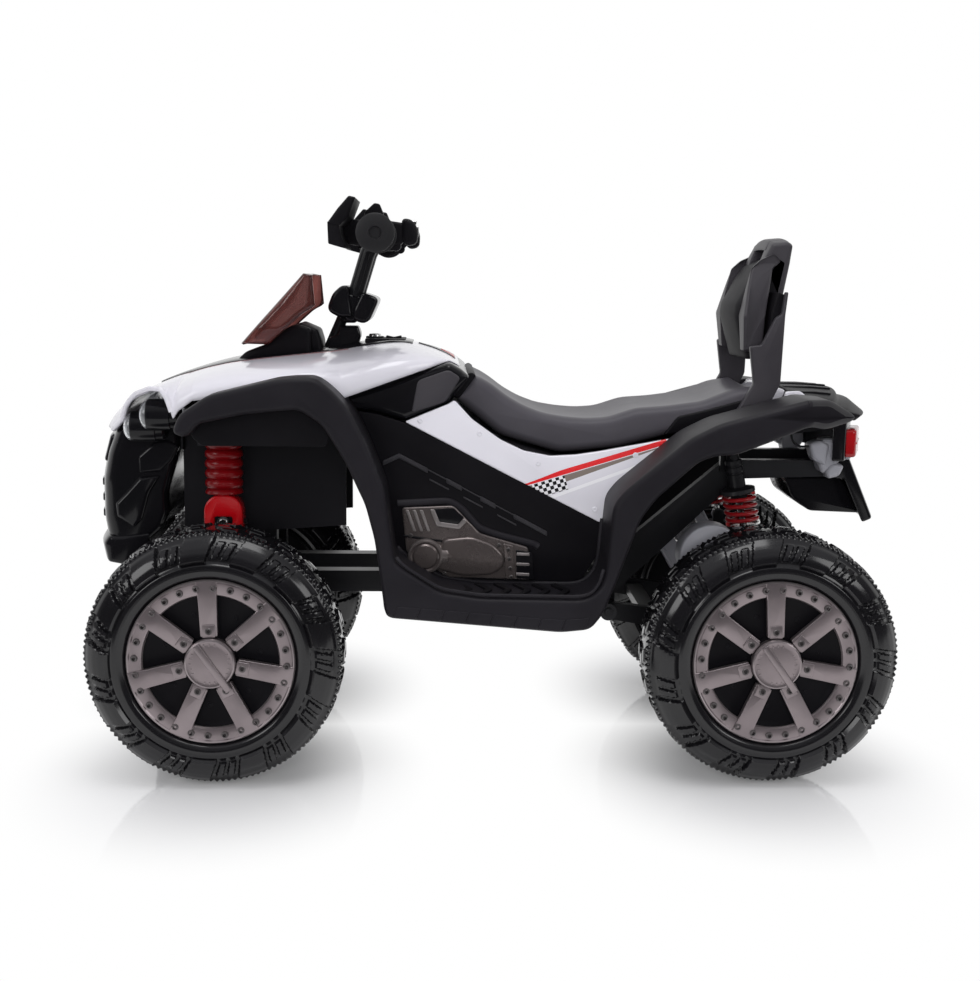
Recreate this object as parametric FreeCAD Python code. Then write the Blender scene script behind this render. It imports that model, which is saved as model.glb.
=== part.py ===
import FreeCAD, Part
import math
import os

# Kids quad bike with electric drive, in millimetres.
# Front at -X, rear at +X, the rider's left at -Y, ground at Z = 0.

# Driving dimensions: wheels and their places
wheel_radius = 170.0
wheelbase = 732.0
track = 437.0
tyre_half_width = 56.0
tyre_crown_half_width = 29.0
tyre_shoulder_drop = 20.0
tyre_wall = 4.5
bead_radius = 128.0
cover_seat_radius = 109.0
cover_seat_depth = 49.0
cover_thickness = 5.0
cover_ring_width = 20.0
spoke_count = 7
spoke_width = 25.0
dish_depth = 36.0
wheel_web = 6.0
wheel_barrel_radius = 100.0
wheel_hub_radius = 26.0
wheel_hub_inner_reach = 30.0
hubcap_radius = 33.0
hubcap_height = 9.0
hubcap_bar_width = 9.0
hubcap_bar_height = 3.0
hubcap_bar_overhang = 10.0
tread_block_count = 14
tread_notch_depth = 6.0
tread_notch_length = 34.0
axle_radius = 6.0
axle_nut_radius = 11.0

# Clearances
running_fit = 0.05
face_gap = 0.3
hinge_room = 1.0

# Driving dimensions: body
body_half_width = 144.0
panel_thickness = 6.0
fender_band_width = 100.0
shell_wall = 4.0
nose_half_width = 98.0
seat_half_width = 108.0
footwell_front = -110.0
footwell_rear = 200.0
end_shift = (wheelbase - 732.0) / 2
body_lift = wheel_radius - 170.0
body_face = body_half_width + panel_thickness
fender_outer_half_width = body_face + fender_band_width
rail_top = 250.0 + body_lift
rail_depth = 30.0
rail_low = rail_top - rail_depth

# Driving dimensions: steering and suspension
steering_rake = math.radians(23.6)
column_setback = 151.0
steering_point_z = 600.0
steering_shaft_radius = 8.0
steering_crank_reach = 50.0
kingpin_half_track = 140.0
kingpin_radius = 6.0
tie_rod_radius = 5.0
tie_rod_room = 32.0
tie_rod_height = rail_low - tie_rod_room
beam_half_depth = 14.0
beam_rise = 35.0
beam_height = 30.0
beam_bottom = wheel_radius + beam_rise
beam_top = beam_bottom + beam_height
beam_wall = 3.0
front_shock_half_track = 130.0
front_shock_top = 437.0
front_fork_top = 369.0
front_rod_radius = 8.0
bellows_radius = 26.0
bellows_ribs = 5
swing_arm_reach = 201.0
swing_pivot_z = 200.0
swing_arm_half_track = 97.0
swing_arm_thickness = 14.0
rear_shock_top_reach = 30.0
rear_shock_top_z = 420.0
rear_shock_low_reach = 8.0
rear_shock_low_z = 306.0
rear_spring_radius = 21.0
rear_spring_wire_radius = 3.0
rear_spring_turns = 4.5

# Places worked out from the driving dimensions
front_x = -wheelbase / 2
rear_x = wheelbase / 2
steering_point_x = front_x + column_setback
swing_pivot_x = rear_x - swing_arm_reach
rear_shock_top_x = rear_x - rear_shock_top_reach
rear_shock_low_x = rear_x - rear_shock_low_reach
axle_height = wheel_radius
half_track = track / 2

SIDES = {"left": -1.0, "right": 1.0}
pieces = {}


def vec(x, y, z):
    """Point or direction in the bike's frame."""
    return FreeCAD.Vector(x, y, z)


def along(x):
    """Place along the bike: both ends keep to their axle, and the footwell between them takes up the wheelbase."""
    share = (x - footwell_front) / (footwell_rear - footwell_front)
    return x + end_shift * (2.0 * max(0.0, min(1.0, share)) - 1.0)


def at(x, z):
    """Side-view point of the body, carried along by wheelbase and wheel size."""
    return (along(x), z + body_lift)


def block(x0, x1, y0, y1, z0, z1):
    """Box between two corners."""
    return Part.makeBox(x1 - x0, y1 - y0, z1 - z0, vec(x0, y0, z0))


def rod(start, end, radius):
    """Round bar between two points."""
    way = end - start
    return Part.makeCylinder(radius, way.Length, start, way)


def prism(outline, y0, y1):
    """Side-view outline of (x, z) points carried from y0 to y1."""
    corners = [vec(x, y0, z) for x, z in outline]
    face = Part.Face(Part.makePolygon(corners + corners[:1]))
    return face.extrude(vec(0, y1 - y0, 0))


def soft_prism(outline, y0, y1, radius):
    """Prism whose long edges across the bike are rounded."""
    solid = prism(outline, y0, y1)
    across = [e for e in solid.Edges if abs(e.tangentAt(e.FirstParameter).y) > 0.99]
    return solid.makeFillet(radius, across)


def inset(outline, wall):
    """Outline moved inwards by a wall."""
    corners = [vec(x, 0, z) for x, z in outline]
    wire = Part.makePolygon(corners + corners[:1])
    inner = wire.makeOffset2D(-wall, 2)
    if inner.BoundBox.DiagonalLength > wire.BoundBox.DiagonalLength:
        inner = wire.makeOffset2D(wall, 2)
    return [(v.Point.x, v.Point.z) for v in inner.OrderedVertexes]


def loft(sections):
    """Solid with flat bands between closed sections of equal point count."""
    wires = [Part.makePolygon(points + points[:1]) for points in sections]
    return Part.makeLoft(wires, True, True)


def fuse(solids):
    """One solid from several that meet."""
    return solids[0].multiFuse(solids[1:])


def mirrored(shape):
    """Copy on the other side of the bike's middle plane."""
    return shape.mirror(vec(0, 0, 0), vec(0, 1, 0))


def add(name, *solids):
    """Keep solids under a piece's name."""
    pieces.setdefault(name, []).extend(solids)


def revolve(profile, centre):
    """Ring from (axial, radius) points about the line across the bike at centre."""
    corners = [vec(0, t, r) for t, r in profile]
    face = Part.Face(Part.makePolygon(corners + corners[:1]))
    ring = face.revolve(vec(0, 0, 0), vec(0, 1, 0), 360)
    ring.translate(centre)
    return ring


def steering_axis_x(z):
    """X of the raked steering axis at a height."""
    return steering_point_x - (steering_point_z - z) * math.tan(steering_rake)


def steering_axis_point(z):
    """Point of the raked steering axis at a height."""
    return vec(steering_axis_x(z), 0, z)


# Wheels: a hollow moulded wheel with its tyre form, a spoked cover and a hubcap
def tyre_cavity():
    """Closed air space inside the blow-moulded tyre, as (axial, radius) points."""
    wall = tyre_wall
    side = tyre_half_width - wall
    crown = tyre_crown_half_width - 5.0
    top = wheel_radius - 2.0 * wall
    low = cover_seat_radius + wall
    return [(side, wheel_barrel_radius + wall), (side, bead_radius), (side - 8.0, top - 16.0), (crown, top),
            (-crown, top), (8.0 - side, top - 16.0), (-side, bead_radius), (-side, low),
            (wall - cover_seat_depth, wheel_barrel_radius + wall)]


def moulded_wheel():
    """Left wheel about the origin, outboard towards -Y."""
    shoulder = wheel_radius - tyre_shoulder_drop
    side = tyre_half_width
    crown = tyre_crown_half_width
    hub_face = dish_depth + 10.0
    profile = [
        (side, wheel_barrel_radius), (side, bead_radius), (side - 6.0, shoulder), (crown, wheel_radius),
        (-crown, wheel_radius), (6.0 - side, shoulder), (-side - 1.0, bead_radius),
        (-side - 1.0, cover_seat_radius), (-cover_seat_depth, cover_seat_radius),
        (-cover_seat_depth, cover_seat_radius - cover_ring_width - 3.0), (-dish_depth, 80.0),
        (-dish_depth, wheel_hub_radius), (-hub_face, wheel_hub_radius),
        (-hub_face, axle_radius + running_fit), (wheel_hub_inner_reach, axle_radius + running_fit),
        (wheel_hub_inner_reach, wheel_hub_radius), (wheel_web - dish_depth, wheel_hub_radius),
        (wheel_web - dish_depth, wheel_barrel_radius),
    ]
    wheel = revolve(profile, vec(0, 0, 0)).cut(revolve(tyre_cavity(), vec(0, 0, 0)))
    notch_radius = shoulder + tyre_shoulder_drop / 2 + 2.0
    notch_width = tyre_half_width - tyre_crown_half_width + 8.0
    cutters = []
    for side_sign in (-1.0, 1.0):
        for index in range(tread_block_count):
            cutter = block(-tread_notch_length / 2, tread_notch_length / 2, 0, notch_width,
                           -tread_notch_depth, tread_notch_depth * 4)
            lean = math.degrees(math.atan2(tyre_shoulder_drop, side - 6.0 - crown))
            cutter.rotate(vec(0, 0, 0), vec(1, 0, 0), -lean)
            cutter.translate(vec(0, crown - 2.0, notch_radius + 5.0))
            if side_sign < 0:
                cutter = mirrored(cutter)
            turn = 360.0 * (index + (0.5 if side_sign > 0 else 0.0)) / tread_block_count
            cutter.rotate(vec(0, 0, 0), vec(0, 1, 0), turn)
            cutters.append(cutter)
    return wheel.cut(Part.makeCompound(cutters))


def wheel_cover():
    """Spoked cover on the wheel's outboard seat."""
    seat = cover_seat_depth
    face = seat + cover_thickness
    outer = cover_seat_radius - 0.5
    inner = outer - cover_ring_width
    ring = revolve([(-seat, outer), (-face, outer), (-face, inner), (-seat, inner)], vec(0, 0, 0))
    hub_outer = hubcap_radius - 1.0
    hub_bore = axle_nut_radius + 3.0
    hub_back = dish_depth + 10.0
    hub = revolve([(-hub_back, hub_outer), (-face, hub_outer), (-face, hub_bore), (-hub_back, hub_bore)],
                  vec(0, 0, 0))
    solids = [ring, hub]
    for index in range(spoke_count):
        spoke = block(-spoke_width / 2, spoke_width / 2, -face, -seat, hub_bore + 6.0, inner + 6.0)
        spoke.rotate(vec(0, 0, 0), vec(0, 1, 0), 360.0 * index / spoke_count)
        solids.append(spoke)
    return fuse(solids)


def hubcap():
    """Round cap with a raised bar that passes one edge."""
    back = cover_seat_depth + cover_thickness
    front = back + hubcap_height
    disc = revolve([(-back, 0), (-front, 0), (-front, hubcap_radius - 3.0), (3.0 - front, hubcap_radius),
                    (-back, hubcap_radius)], vec(0, 0, 0))
    bar = block(-hubcap_bar_width / 2, hubcap_bar_width / 2, -front - hubcap_bar_height, -front + 3.0,
                3.0 - hubcap_radius, hubcap_radius + hubcap_bar_overhang)
    bar.rotate(vec(0, 0, 0), vec(0, 1, 0), 145.0)
    return fuse([disc, bar])


def add_wheels():
    """Four wheels, each with its cover and hubcap."""
    wheel = moulded_wheel()
    cover = wheel_cover()
    cap = hubcap()
    for end, x in (("front", front_x), ("rear", rear_x)):
        for side, sign in SIDES.items():
            place = vec(x, sign * half_track, axle_height)
            for name, shape in (("wheel", wheel), ("wheel_cover", cover), ("wheel_cover", cap)):
                copy = shape.copy() if sign < 0 else mirrored(shape)
                copy.translate(place)
                add(f"{name}_{end}_{side}", copy)


# Front axle: beam, kingpins, knuckles with stub axles, tie rod and shocks
lug_thickness = 13.0
lug_drop = 30.0
lug_low = axle_height - lug_drop
knuckle_half_depth = 12.0
knuckle_half_width = 11.0
steering_arm_length = 50.0
steering_arm_height = 10.0
tie_pin_radius = 4.0
fork_half_length = 26.0
fork_half_width = 16.0
fork_prong = 11.0
fork_prong_bottom = 318.0
axle_shoulder_radius = 12.0
front_bump_travel = 20.0
shock_rod_top = front_shock_top - front_bump_travel - 3.0
shock_tube_bottom = 395.0
shock_tube_radius = 13.0


def front_axle_beam():
    """Cross beam with a clevis, a kingpin and a shock post at each end."""
    end_y = kingpin_half_track - 20.0
    solids = [block(front_x - beam_half_depth, front_x + beam_half_depth, -end_y, end_y, beam_bottom, beam_top)]
    inner_depth = beam_half_depth - beam_wall
    inner_y = kingpin_half_track - 32.0 - beam_wall
    hollow = block(front_x - inner_depth, front_x + inner_depth, -inner_y, inner_y, beam_bottom + beam_wall,
                   beam_top - beam_wall)
    for sign in SIDES.values():
        y_in = kingpin_half_track - 32.0
        y_out = kingpin_half_track + 12.0
        web = block(front_x - beam_half_depth, front_x + beam_half_depth, y_in, end_y, lug_low, beam_top)
        low = block(front_x - beam_half_depth, front_x + beam_half_depth, y_in, y_out,
                    lug_low, lug_low + lug_thickness)
        high = block(front_x - beam_half_depth, front_x + beam_half_depth, y_in, y_out,
                     beam_top - lug_thickness, beam_top)
        pin = rod(vec(front_x, kingpin_half_track, lug_low - 4.0),
                  vec(front_x, kingpin_half_track, beam_top + 4.0), kingpin_radius)
        post_half = fork_half_length - fork_prong - 1.0
        post = block(front_x - post_half, front_x + post_half, front_shock_half_track - 10.0,
                     front_shock_half_track + 10.0, beam_top - 2.0, front_fork_top - 24.0)
        bolt_z = fork_prong_bottom + 12.0
        bolt = rod(vec(front_x - fork_half_length - 4.0, front_shock_half_track, bolt_z),
                   vec(front_x + fork_half_length + 4.0, front_shock_half_track, bolt_z), 3.5)
        for solid in (web, low, high, pin, post, bolt):
            solids.append(solid if sign > 0 else mirrored(solid))
    return fuse(solids).cut(hollow)


def front_shock_fork():
    """Inverted U that straddles the beam's post, with the damper rod on top."""
    y = front_shock_half_track
    crown = block(front_x - fork_half_length, front_x + fork_half_length, y - fork_half_width,
                  y + fork_half_width, front_fork_top - 17.0, front_fork_top)
    solids = [crown]
    for x in (front_x - fork_half_length, front_x + fork_half_length - fork_prong):
        prong = block(x, x + fork_prong, y - fork_half_width, y + fork_half_width,
                      fork_prong_bottom, front_fork_top - 10.0)
        solids.append(prong)
    solids.append(rod(vec(front_x, y, front_fork_top - 10.0), vec(front_x, y, shock_rod_top), front_rod_radius))
    fork = fuse(solids)
    bolt_z = fork_prong_bottom + 12.0
    hole = rod(vec(front_x - 60.0, y, bolt_z), vec(front_x + 60.0, y, bolt_z), 3.5 + running_fit)
    return fork.cut(hole)


def front_shock_tube():
    """Damper tube that the fork's rod slides in."""
    y = front_shock_half_track
    tube = rod(vec(front_x, y, shock_tube_bottom), vec(front_x, y, front_shock_top), shock_tube_radius)
    bore = rod(vec(front_x, y, shock_tube_bottom - 1.0), vec(front_x, y, front_shock_top + 1.0),
               front_rod_radius + running_fit)
    return tube.cut(bore)


def front_bellows():
    """Ribbed rubber sleeve round the damper, from the fork's crown to the shock tower."""
    y = front_shock_half_track
    low = front_fork_top + face_gap
    pitch = (front_shock_top - low) / bellows_ribs
    neck = bellows_radius - 5.0
    wires = []
    for rib in range(bellows_ribs):
        base = low + rib * pitch
        for share, radius in ((0.0, neck), (0.3, bellows_radius), (0.6, bellows_radius), (0.9, neck)):
            circle = Part.makeCircle(radius, vec(front_x, y, base + share * pitch), vec(0, 0, 1))
            wires.append(Part.Wire([circle]))
    last = Part.makeCircle(neck, vec(front_x, y, front_shock_top), vec(0, 0, 1))
    wires.append(Part.Wire([last]))
    sleeve = Part.makeLoft(wires, True, True)
    bore = rod(vec(front_x, y, low - 1.0), vec(front_x, y, front_shock_top + 1.0), shock_tube_radius + 2.0)
    return sleeve.cut(bore)


def knuckle():
    """Right steering knuckle: block on the kingpin, stub axle with nut, steering arm with pin."""
    y = kingpin_half_track
    low = lug_low + lug_thickness + face_gap
    high = beam_top - lug_thickness - face_gap
    body = block(front_x - knuckle_half_depth, front_x + knuckle_half_depth, y - knuckle_half_width,
                 y + knuckle_half_width, low, high)
    hub_stop = half_track - wheel_hub_inner_reach - face_gap
    shoulder = rod(vec(front_x, y + 5.0, axle_height), vec(front_x, hub_stop, axle_height), axle_shoulder_radius)
    nut_in = half_track + dish_depth + 10.0 + face_gap
    nut_out = half_track + cover_seat_depth + cover_thickness - face_gap
    stub = rod(vec(front_x, y + 5.0, axle_height), vec(front_x, nut_out, axle_height), axle_radius)
    nut = rod(vec(front_x, nut_in, axle_height), vec(front_x, nut_out, axle_height), axle_nut_radius)
    arm_end = front_x + steering_arm_length
    arm_low = tie_rod_height - 15.0
    arm = block(front_x + 8.0, arm_end + 7.0, y - 6.0, y + 6.0, arm_low, arm_low + steering_arm_height)
    pin = rod(vec(arm_end, y, arm_low + 2.0), vec(arm_end, y, tie_rod_height + 8.0), tie_pin_radius)
    bore = rod(vec(front_x, y, low - 1.0), vec(front_x, y, high + 1.0), kingpin_radius + running_fit)
    return fuse([body, shoulder, stub, nut, arm, pin]).cut(bore)


crank_pin_radius = 4.0
crank_hole_radius = 9.0
crank_pin_x = steering_axis_x(tie_rod_height) + steering_crank_reach / math.cos(steering_rake)


def tie_rod():
    """Rod between the steering arms, with an eye at each end and a plate for the steering crank."""
    x = front_x + steering_arm_length
    y = kingpin_half_track
    half = 4.5
    eye_radius = 10.0
    solids = [rod(vec(x, -y + 8.0, tie_rod_height), vec(x, y - 8.0, tie_rod_height), tie_rod_radius - 0.5)]
    cuts = []
    for sign in SIDES.values():
        low = vec(x, sign * y, tie_rod_height - half)
        solids.append(rod(low, vec(x, sign * y, tie_rod_height + half), eye_radius))
        cuts.append(rod(low - vec(0, 0, 1), vec(x, sign * y, tie_rod_height + half + 1.0),
                        tie_pin_radius + running_fit))
    plate = block(crank_pin_x - crank_hole_radius - 6.0, x + 6.0, -18.0, 18.0,
                  tie_rod_height - half, tie_rod_height + half)
    solids.append(plate)
    cuts.append(rod(vec(crank_pin_x, 0, tie_rod_height - 10.0), vec(crank_pin_x, 0, tie_rod_height + 10.0),
                    crank_hole_radius))
    return fuse(solids).cut(Part.makeCompound(cuts))


def add_front_axle():
    """Front axle with both shocks, knuckles and the tie rod."""
    add("front_axle_beam", front_axle_beam())
    right_knuckle = knuckle()
    add("knuckle_right", right_knuckle)
    add("knuckle_left", mirrored(right_knuckle))
    for name, maker in (("front_shock_forks", front_shock_fork), ("front_shock_tubes", front_shock_tube),
                        ("front_shock_bellows", front_bellows)):
        shape = maker()
        add(name, shape, mirrored(shape))
    add("tie_rod", tie_rod())


# Rear axle: swing arm, axle, drive units and leaning shocks
pivot_pin_radius = 6.0
pivot_sleeve_radius = 12.0
frame_rail_inner = 50.0
frame_rail_outer = 75.0
gearbox_inner = 114.0
gearbox_outer = 157.0
gearbox_low_radius = 42.0
gearbox_high_radius = 44.0
motor_reach = 66.0
gearbox_high_x = rear_x - motor_reach
gearbox_high_z = 288.0
gearbox_wall = 5.0
gearbox_boss_radius = 13.0
motor_radius = 22.0
motor_inner = 50.0
shock_eye_radius = 11.0
shock_pin_radius = 5.0
rear_cylinder_radius = 12.0
rear_cylinder_length = 60.0
rear_rod_radius = 5.0
spring_seat_radius = 24.0
spring_seat_thickness = 3.0
spring_start = 54.0
spring_end = 96.0

shock_top = vec(rear_shock_top_x, swing_arm_half_track, rear_shock_top_z)
shock_low = vec(rear_shock_low_x, swing_arm_half_track, rear_shock_low_z)
shock_way = (shock_low - shock_top).normalize()


def along_shock(distance):
    """Point on the right rear shock's axis, from its top eye down."""
    return shock_top + shock_way * distance


def rear_swing_arm():
    """Two arms with pivot sleeves, a cross plate, axle bosses and shock lugs."""
    y0 = swing_arm_half_track - swing_arm_thickness / 2
    y1 = swing_arm_half_track + swing_arm_thickness / 2
    solids = []
    cuts = []
    for sign in SIDES.values():
        arm = prism([(swing_pivot_x, swing_pivot_z - 12.0), (rear_x, axle_height - 16.0),
                     (rear_x, axle_height + 16.0), (swing_pivot_x, swing_pivot_z + 12.0)], y0, y1)
        sleeve = rod(vec(swing_pivot_x, frame_rail_outer + face_gap, swing_pivot_z),
                     vec(swing_pivot_x, swing_arm_half_track + 18.0, swing_pivot_z), pivot_sleeve_radius)
        boss = rod(vec(rear_x, y0, axle_height), vec(rear_x, y1, axle_height), 16.0)
        lug = prism([(rear_shock_low_x - 14.0, axle_height), (rear_shock_low_x + 10.0, axle_height),
                     (rear_shock_low_x + 8.0, rear_shock_low_z), (rear_shock_low_x - 8.0, rear_shock_low_z)],
                    y0 + 3.0, y0 + 7.0)
        pin = rod(vec(rear_shock_low_x, y0 + 3.0, rear_shock_low_z),
                  vec(rear_shock_low_x, y1 + 4.0, rear_shock_low_z), shock_pin_radius)
        lug_eye = rod(vec(rear_shock_low_x, y0 + 3.0, rear_shock_low_z),
                      vec(rear_shock_low_x, y0 + 7.0, rear_shock_low_z), 8.0)
        for solid in (arm, sleeve, boss, lug, lug_eye, pin):
            solids.append(solid if sign > 0 else mirrored(solid))
    cross = block(swing_pivot_x + 50.0, swing_pivot_x + 74.0, -y0 - 2.0, y0 + 2.0,
                  swing_pivot_z - 14.0, swing_pivot_z - 2.0)
    cuts.append(rod(vec(swing_pivot_x, -200.0, swing_pivot_z), vec(swing_pivot_x, 200.0, swing_pivot_z),
                    pivot_pin_radius + running_fit))
    cuts.append(rod(vec(rear_x, -200.0, axle_height), vec(rear_x, 200.0, axle_height),
                    axle_radius + running_fit))
    return fuse(solids + [cross]).cut(Part.makeCompound(cuts))


def rear_axle():
    """Steel axle with a nut and an inner stop ring at each wheel."""
    nut_in = half_track + dish_depth + 10.0 + face_gap
    nut_out = half_track + cover_seat_depth + cover_thickness - face_gap
    hub_stop = half_track - wheel_hub_inner_reach - face_gap
    solids = [rod(vec(rear_x, -nut_out, axle_height), vec(rear_x, nut_out, axle_height), axle_radius)]
    for sign in SIDES.values():
        solids.append(rod(vec(rear_x, sign * nut_in, axle_height), vec(rear_x, sign * nut_out, axle_height),
                          axle_nut_radius))
        solids.append(rod(vec(rear_x, sign * gearbox_outer, axle_height),
                          vec(rear_x, sign * hub_stop, axle_height), axle_shoulder_radius))
    return fuse(solids)


def gearbox_form(shrink):
    """Right gearbox from the axle up to the motor, drawn in by a shrink on all sides."""
    y0 = gearbox_inner + shrink
    y1 = gearbox_outer - shrink
    radius = gearbox_low_radius - shrink
    low = rod(vec(rear_x, y0, axle_height), vec(rear_x, y1, axle_height), radius)
    high = rod(vec(gearbox_high_x, y0, gearbox_high_z), vec(gearbox_high_x, y1, gearbox_high_z),
               gearbox_high_radius - shrink)
    dx = gearbox_high_x - rear_x
    dz = gearbox_high_z - axle_height
    length = math.hypot(dx, dz)
    side_x = -dz / length * radius
    side_z = dx / length * radius
    web = prism([(rear_x + side_x, axle_height + side_z), (rear_x - side_x, axle_height - side_z),
                 (gearbox_high_x - side_x, gearbox_high_z - side_z),
                 (gearbox_high_x + side_x, gearbox_high_z + side_z)], y0, y1)
    return fuse([low, high, web])


def gearbox():
    """Right gearbox case, hollow round the boss that the axle turns in."""
    boss = rod(vec(rear_x, gearbox_inner, axle_height), vec(rear_x, gearbox_outer, axle_height), gearbox_boss_radius)
    bore = rod(vec(rear_x, 0, axle_height), vec(rear_x, 300.0, axle_height), axle_radius + running_fit)
    case = gearbox_form(0.0).cut(gearbox_form(gearbox_wall).cut(boss))
    return case.cut(bore)


def drive_motor():
    """Right drive motor on the gearbox's inner face."""
    can = rod(vec(gearbox_high_x, motor_inner, gearbox_high_z), vec(gearbox_high_x, gearbox_inner, gearbox_high_z),
              motor_radius)
    tail = rod(vec(gearbox_high_x, motor_inner - 8.0, gearbox_high_z),
               vec(gearbox_high_x, motor_inner, gearbox_high_z), 9.0)
    return fuse([can, tail])


def rear_shock_cylinder():
    """Right shock's upper half: eye, cylinder and spring seat."""
    eye = rod(shock_top - vec(0, 9.0, 0), shock_top + vec(0, 9.0, 0), shock_eye_radius)
    tube = rod(along_shock(6.0), along_shock(rear_cylinder_length), rear_cylinder_radius)
    seat = rod(along_shock(spring_start - spring_seat_thickness), along_shock(spring_start), spring_seat_radius)
    body = fuse([eye, tube, seat])
    bore = rod(along_shock(22.0), along_shock(rear_cylinder_length + 1.0), rear_rod_radius + 1.5)
    pin = rod(shock_top - vec(0, 20.0, 0), shock_top + vec(0, 20.0, 0), shock_pin_radius + running_fit)
    return body.cut(bore).cut(pin)


def rear_shock_rod():
    """Right shock's lower half: rod, spring seat and eye."""
    length = (shock_low - shock_top).Length
    eye = rod(shock_low + vec(0, face_gap, 0), shock_low + vec(0, 9.0, 0), shock_eye_radius - 2.0)
    bar = rod(along_shock(40.0), along_shock(spring_end + 2.0), rear_rod_radius)
    seat = rod(along_shock(spring_end), along_shock(spring_end + spring_seat_thickness), spring_seat_radius)
    neck_side = vec(0, 4.65, 0)
    neck = rod(along_shock(spring_end + 1.0) + neck_side, along_shock(length - 6.0) + neck_side, 4.3)
    body = fuse([eye, bar, seat, neck])
    pin = rod(shock_low - vec(0, 20.0, 0), shock_low + vec(0, 20.0, 0), shock_pin_radius + running_fit)
    return body.cut(pin)


def arc_through(start, tangent, end, sign):
    """Circular arc between two points, tangent to a direction at its start or, for sign -1, at its end."""
    chord = end - start
    half = chord.Length / 2
    unit = FreeCAD.Vector(chord).normalize()
    lean = max(-1.0, min(1.0, tangent.dot(unit)))
    bulge = (tangent - unit * lean).normalize() * sign
    middle = (start + end) * 0.5 + bulge * (half * math.tan(math.acos(lean) / 2))
    return Part.Arc(start, middle, end).toShape()


def coil_spring(start, way, length, radius, turns, wire):
    """Helix of round wire as tangent arcs, two to each quarter turn."""
    side = vec(0, 1, 0)
    other = way.cross(side)
    steps = int(round(turns * 4))
    rise = length / steps
    points = []
    tangents = []
    for step in range(steps + 1):
        angle = math.pi / 2 * step
        out = side * math.cos(angle) + other * math.sin(angle)
        round_way = other * math.cos(angle) - side * math.sin(angle)
        points.append(start + way * (rise * step) + out * radius)
        tangents.append((round_way * (radius * math.pi / 2) + way * rise).normalize())
    edges = []
    for p0, p1, t0, t1 in zip(points, points[1:], tangents, tangents[1:]):
        gap = p1 - p0
        both = t0 + t1
        spread = 2 * (1 - t0.dot(t1))
        reach = (-gap.dot(both) + math.sqrt(gap.dot(both) ** 2 + spread * gap.dot(gap))) / spread
        middle = ((p0 + t0 * reach) + (p1 - t1 * reach)) * 0.5
        edges.append(arc_through(p0, t0, middle, 1.0))
        edges.append(arc_through(middle, t1, p1, -1.0))
    path = Part.Wire(edges)
    ring = Part.Wire([Part.makeCircle(wire, points[0], tangents[0])])
    gap = rise * 4 - 2 * wire
    print(f"spring: {turns} turns, least gap between turns {gap:.2f} mm")
    return path.makePipeShell([ring], True, False)


def add_rear_axle():
    """Swing arm, axle, drive units and both rear shocks."""
    add("rear_swing_arm", rear_swing_arm())
    add("rear_axle", rear_axle())
    for name, maker in (("gearboxes", gearbox), ("drive_motors", drive_motor),
                        ("rear_shock_cylinders", rear_shock_cylinder), ("rear_shock_rods", rear_shock_rod)):
        shape = maker()
        add(name, shape, mirrored(shape))
    inset_length = rear_spring_wire_radius + face_gap
    spring = coil_spring(along_shock(spring_start + inset_length), shock_way,
                         spring_end - spring_start - 2 * inset_length, rear_spring_radius,
                         rear_spring_turns, rear_spring_wire_radius)
    add("rear_shock_springs", spring, mirrored(spring))


# Frame under the body
tower_thickness = 15.0
tower_top = front_shock_top + tower_thickness
tub_rear_x = 125.0
strut_foot_gap = 15.0
shelf_front_reach = 30.0
tower_rear_reach = 64.0


def frame_side():
    """Right half of the frame: rail, front tower, rear strut, pivot ear and shock bracket."""
    y0 = frame_rail_inner
    y1 = frame_rail_outer
    rail = block(front_x + 36.0, swing_pivot_x + 13.0, y0, y1, rail_low, rail_top)
    upright = block(front_x + 40.0, front_x + tower_rear_reach, y0, y1, rail_low, tower_top)
    shelf = block(front_x - shelf_front_reach, front_x + tower_rear_reach, y0, front_shock_half_track + 32.0,
                  front_shock_top, tower_top)
    foot_x = along(tub_rear_x) + strut_foot_gap
    strut_end = along(498.0)
    strut = prism([(foot_x, rail_low), (swing_pivot_x + 13.0, rail_low), (rear_x - 16.0, 385.0), (strut_end, 390.0),
                   (strut_end, 412.0), (rear_x - 36.0, 412.0), (foot_x, rail_top)], y0 + 8.0, y1)
    ear = block(swing_pivot_x - 15.0, swing_pivot_x + 13.0, y0, y1, swing_pivot_z - 14.0, rail_low + 1.0)
    bracket = block(rear_shock_top_x - 14.0, rear_shock_top_x + 14.0, y1 - 1.0,
                    swing_arm_half_track - rear_cylinder_radius - hinge_room, 396.0, rear_shock_top_z + 12.0)
    top_pin = rod(shock_top - vec(0, 14.0, 0), shock_top + vec(0, 14.0, 0), shock_pin_radius)
    return [rail, upright, shelf, strut, ear, bracket, top_pin]


crank_room = 45.0
crank_height = beam_top + crank_room
bearing_room = 50.0
bearing_thickness = 16.0
bearing_low = crank_height + bearing_room
bearing_high = bearing_low + bearing_thickness


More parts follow.
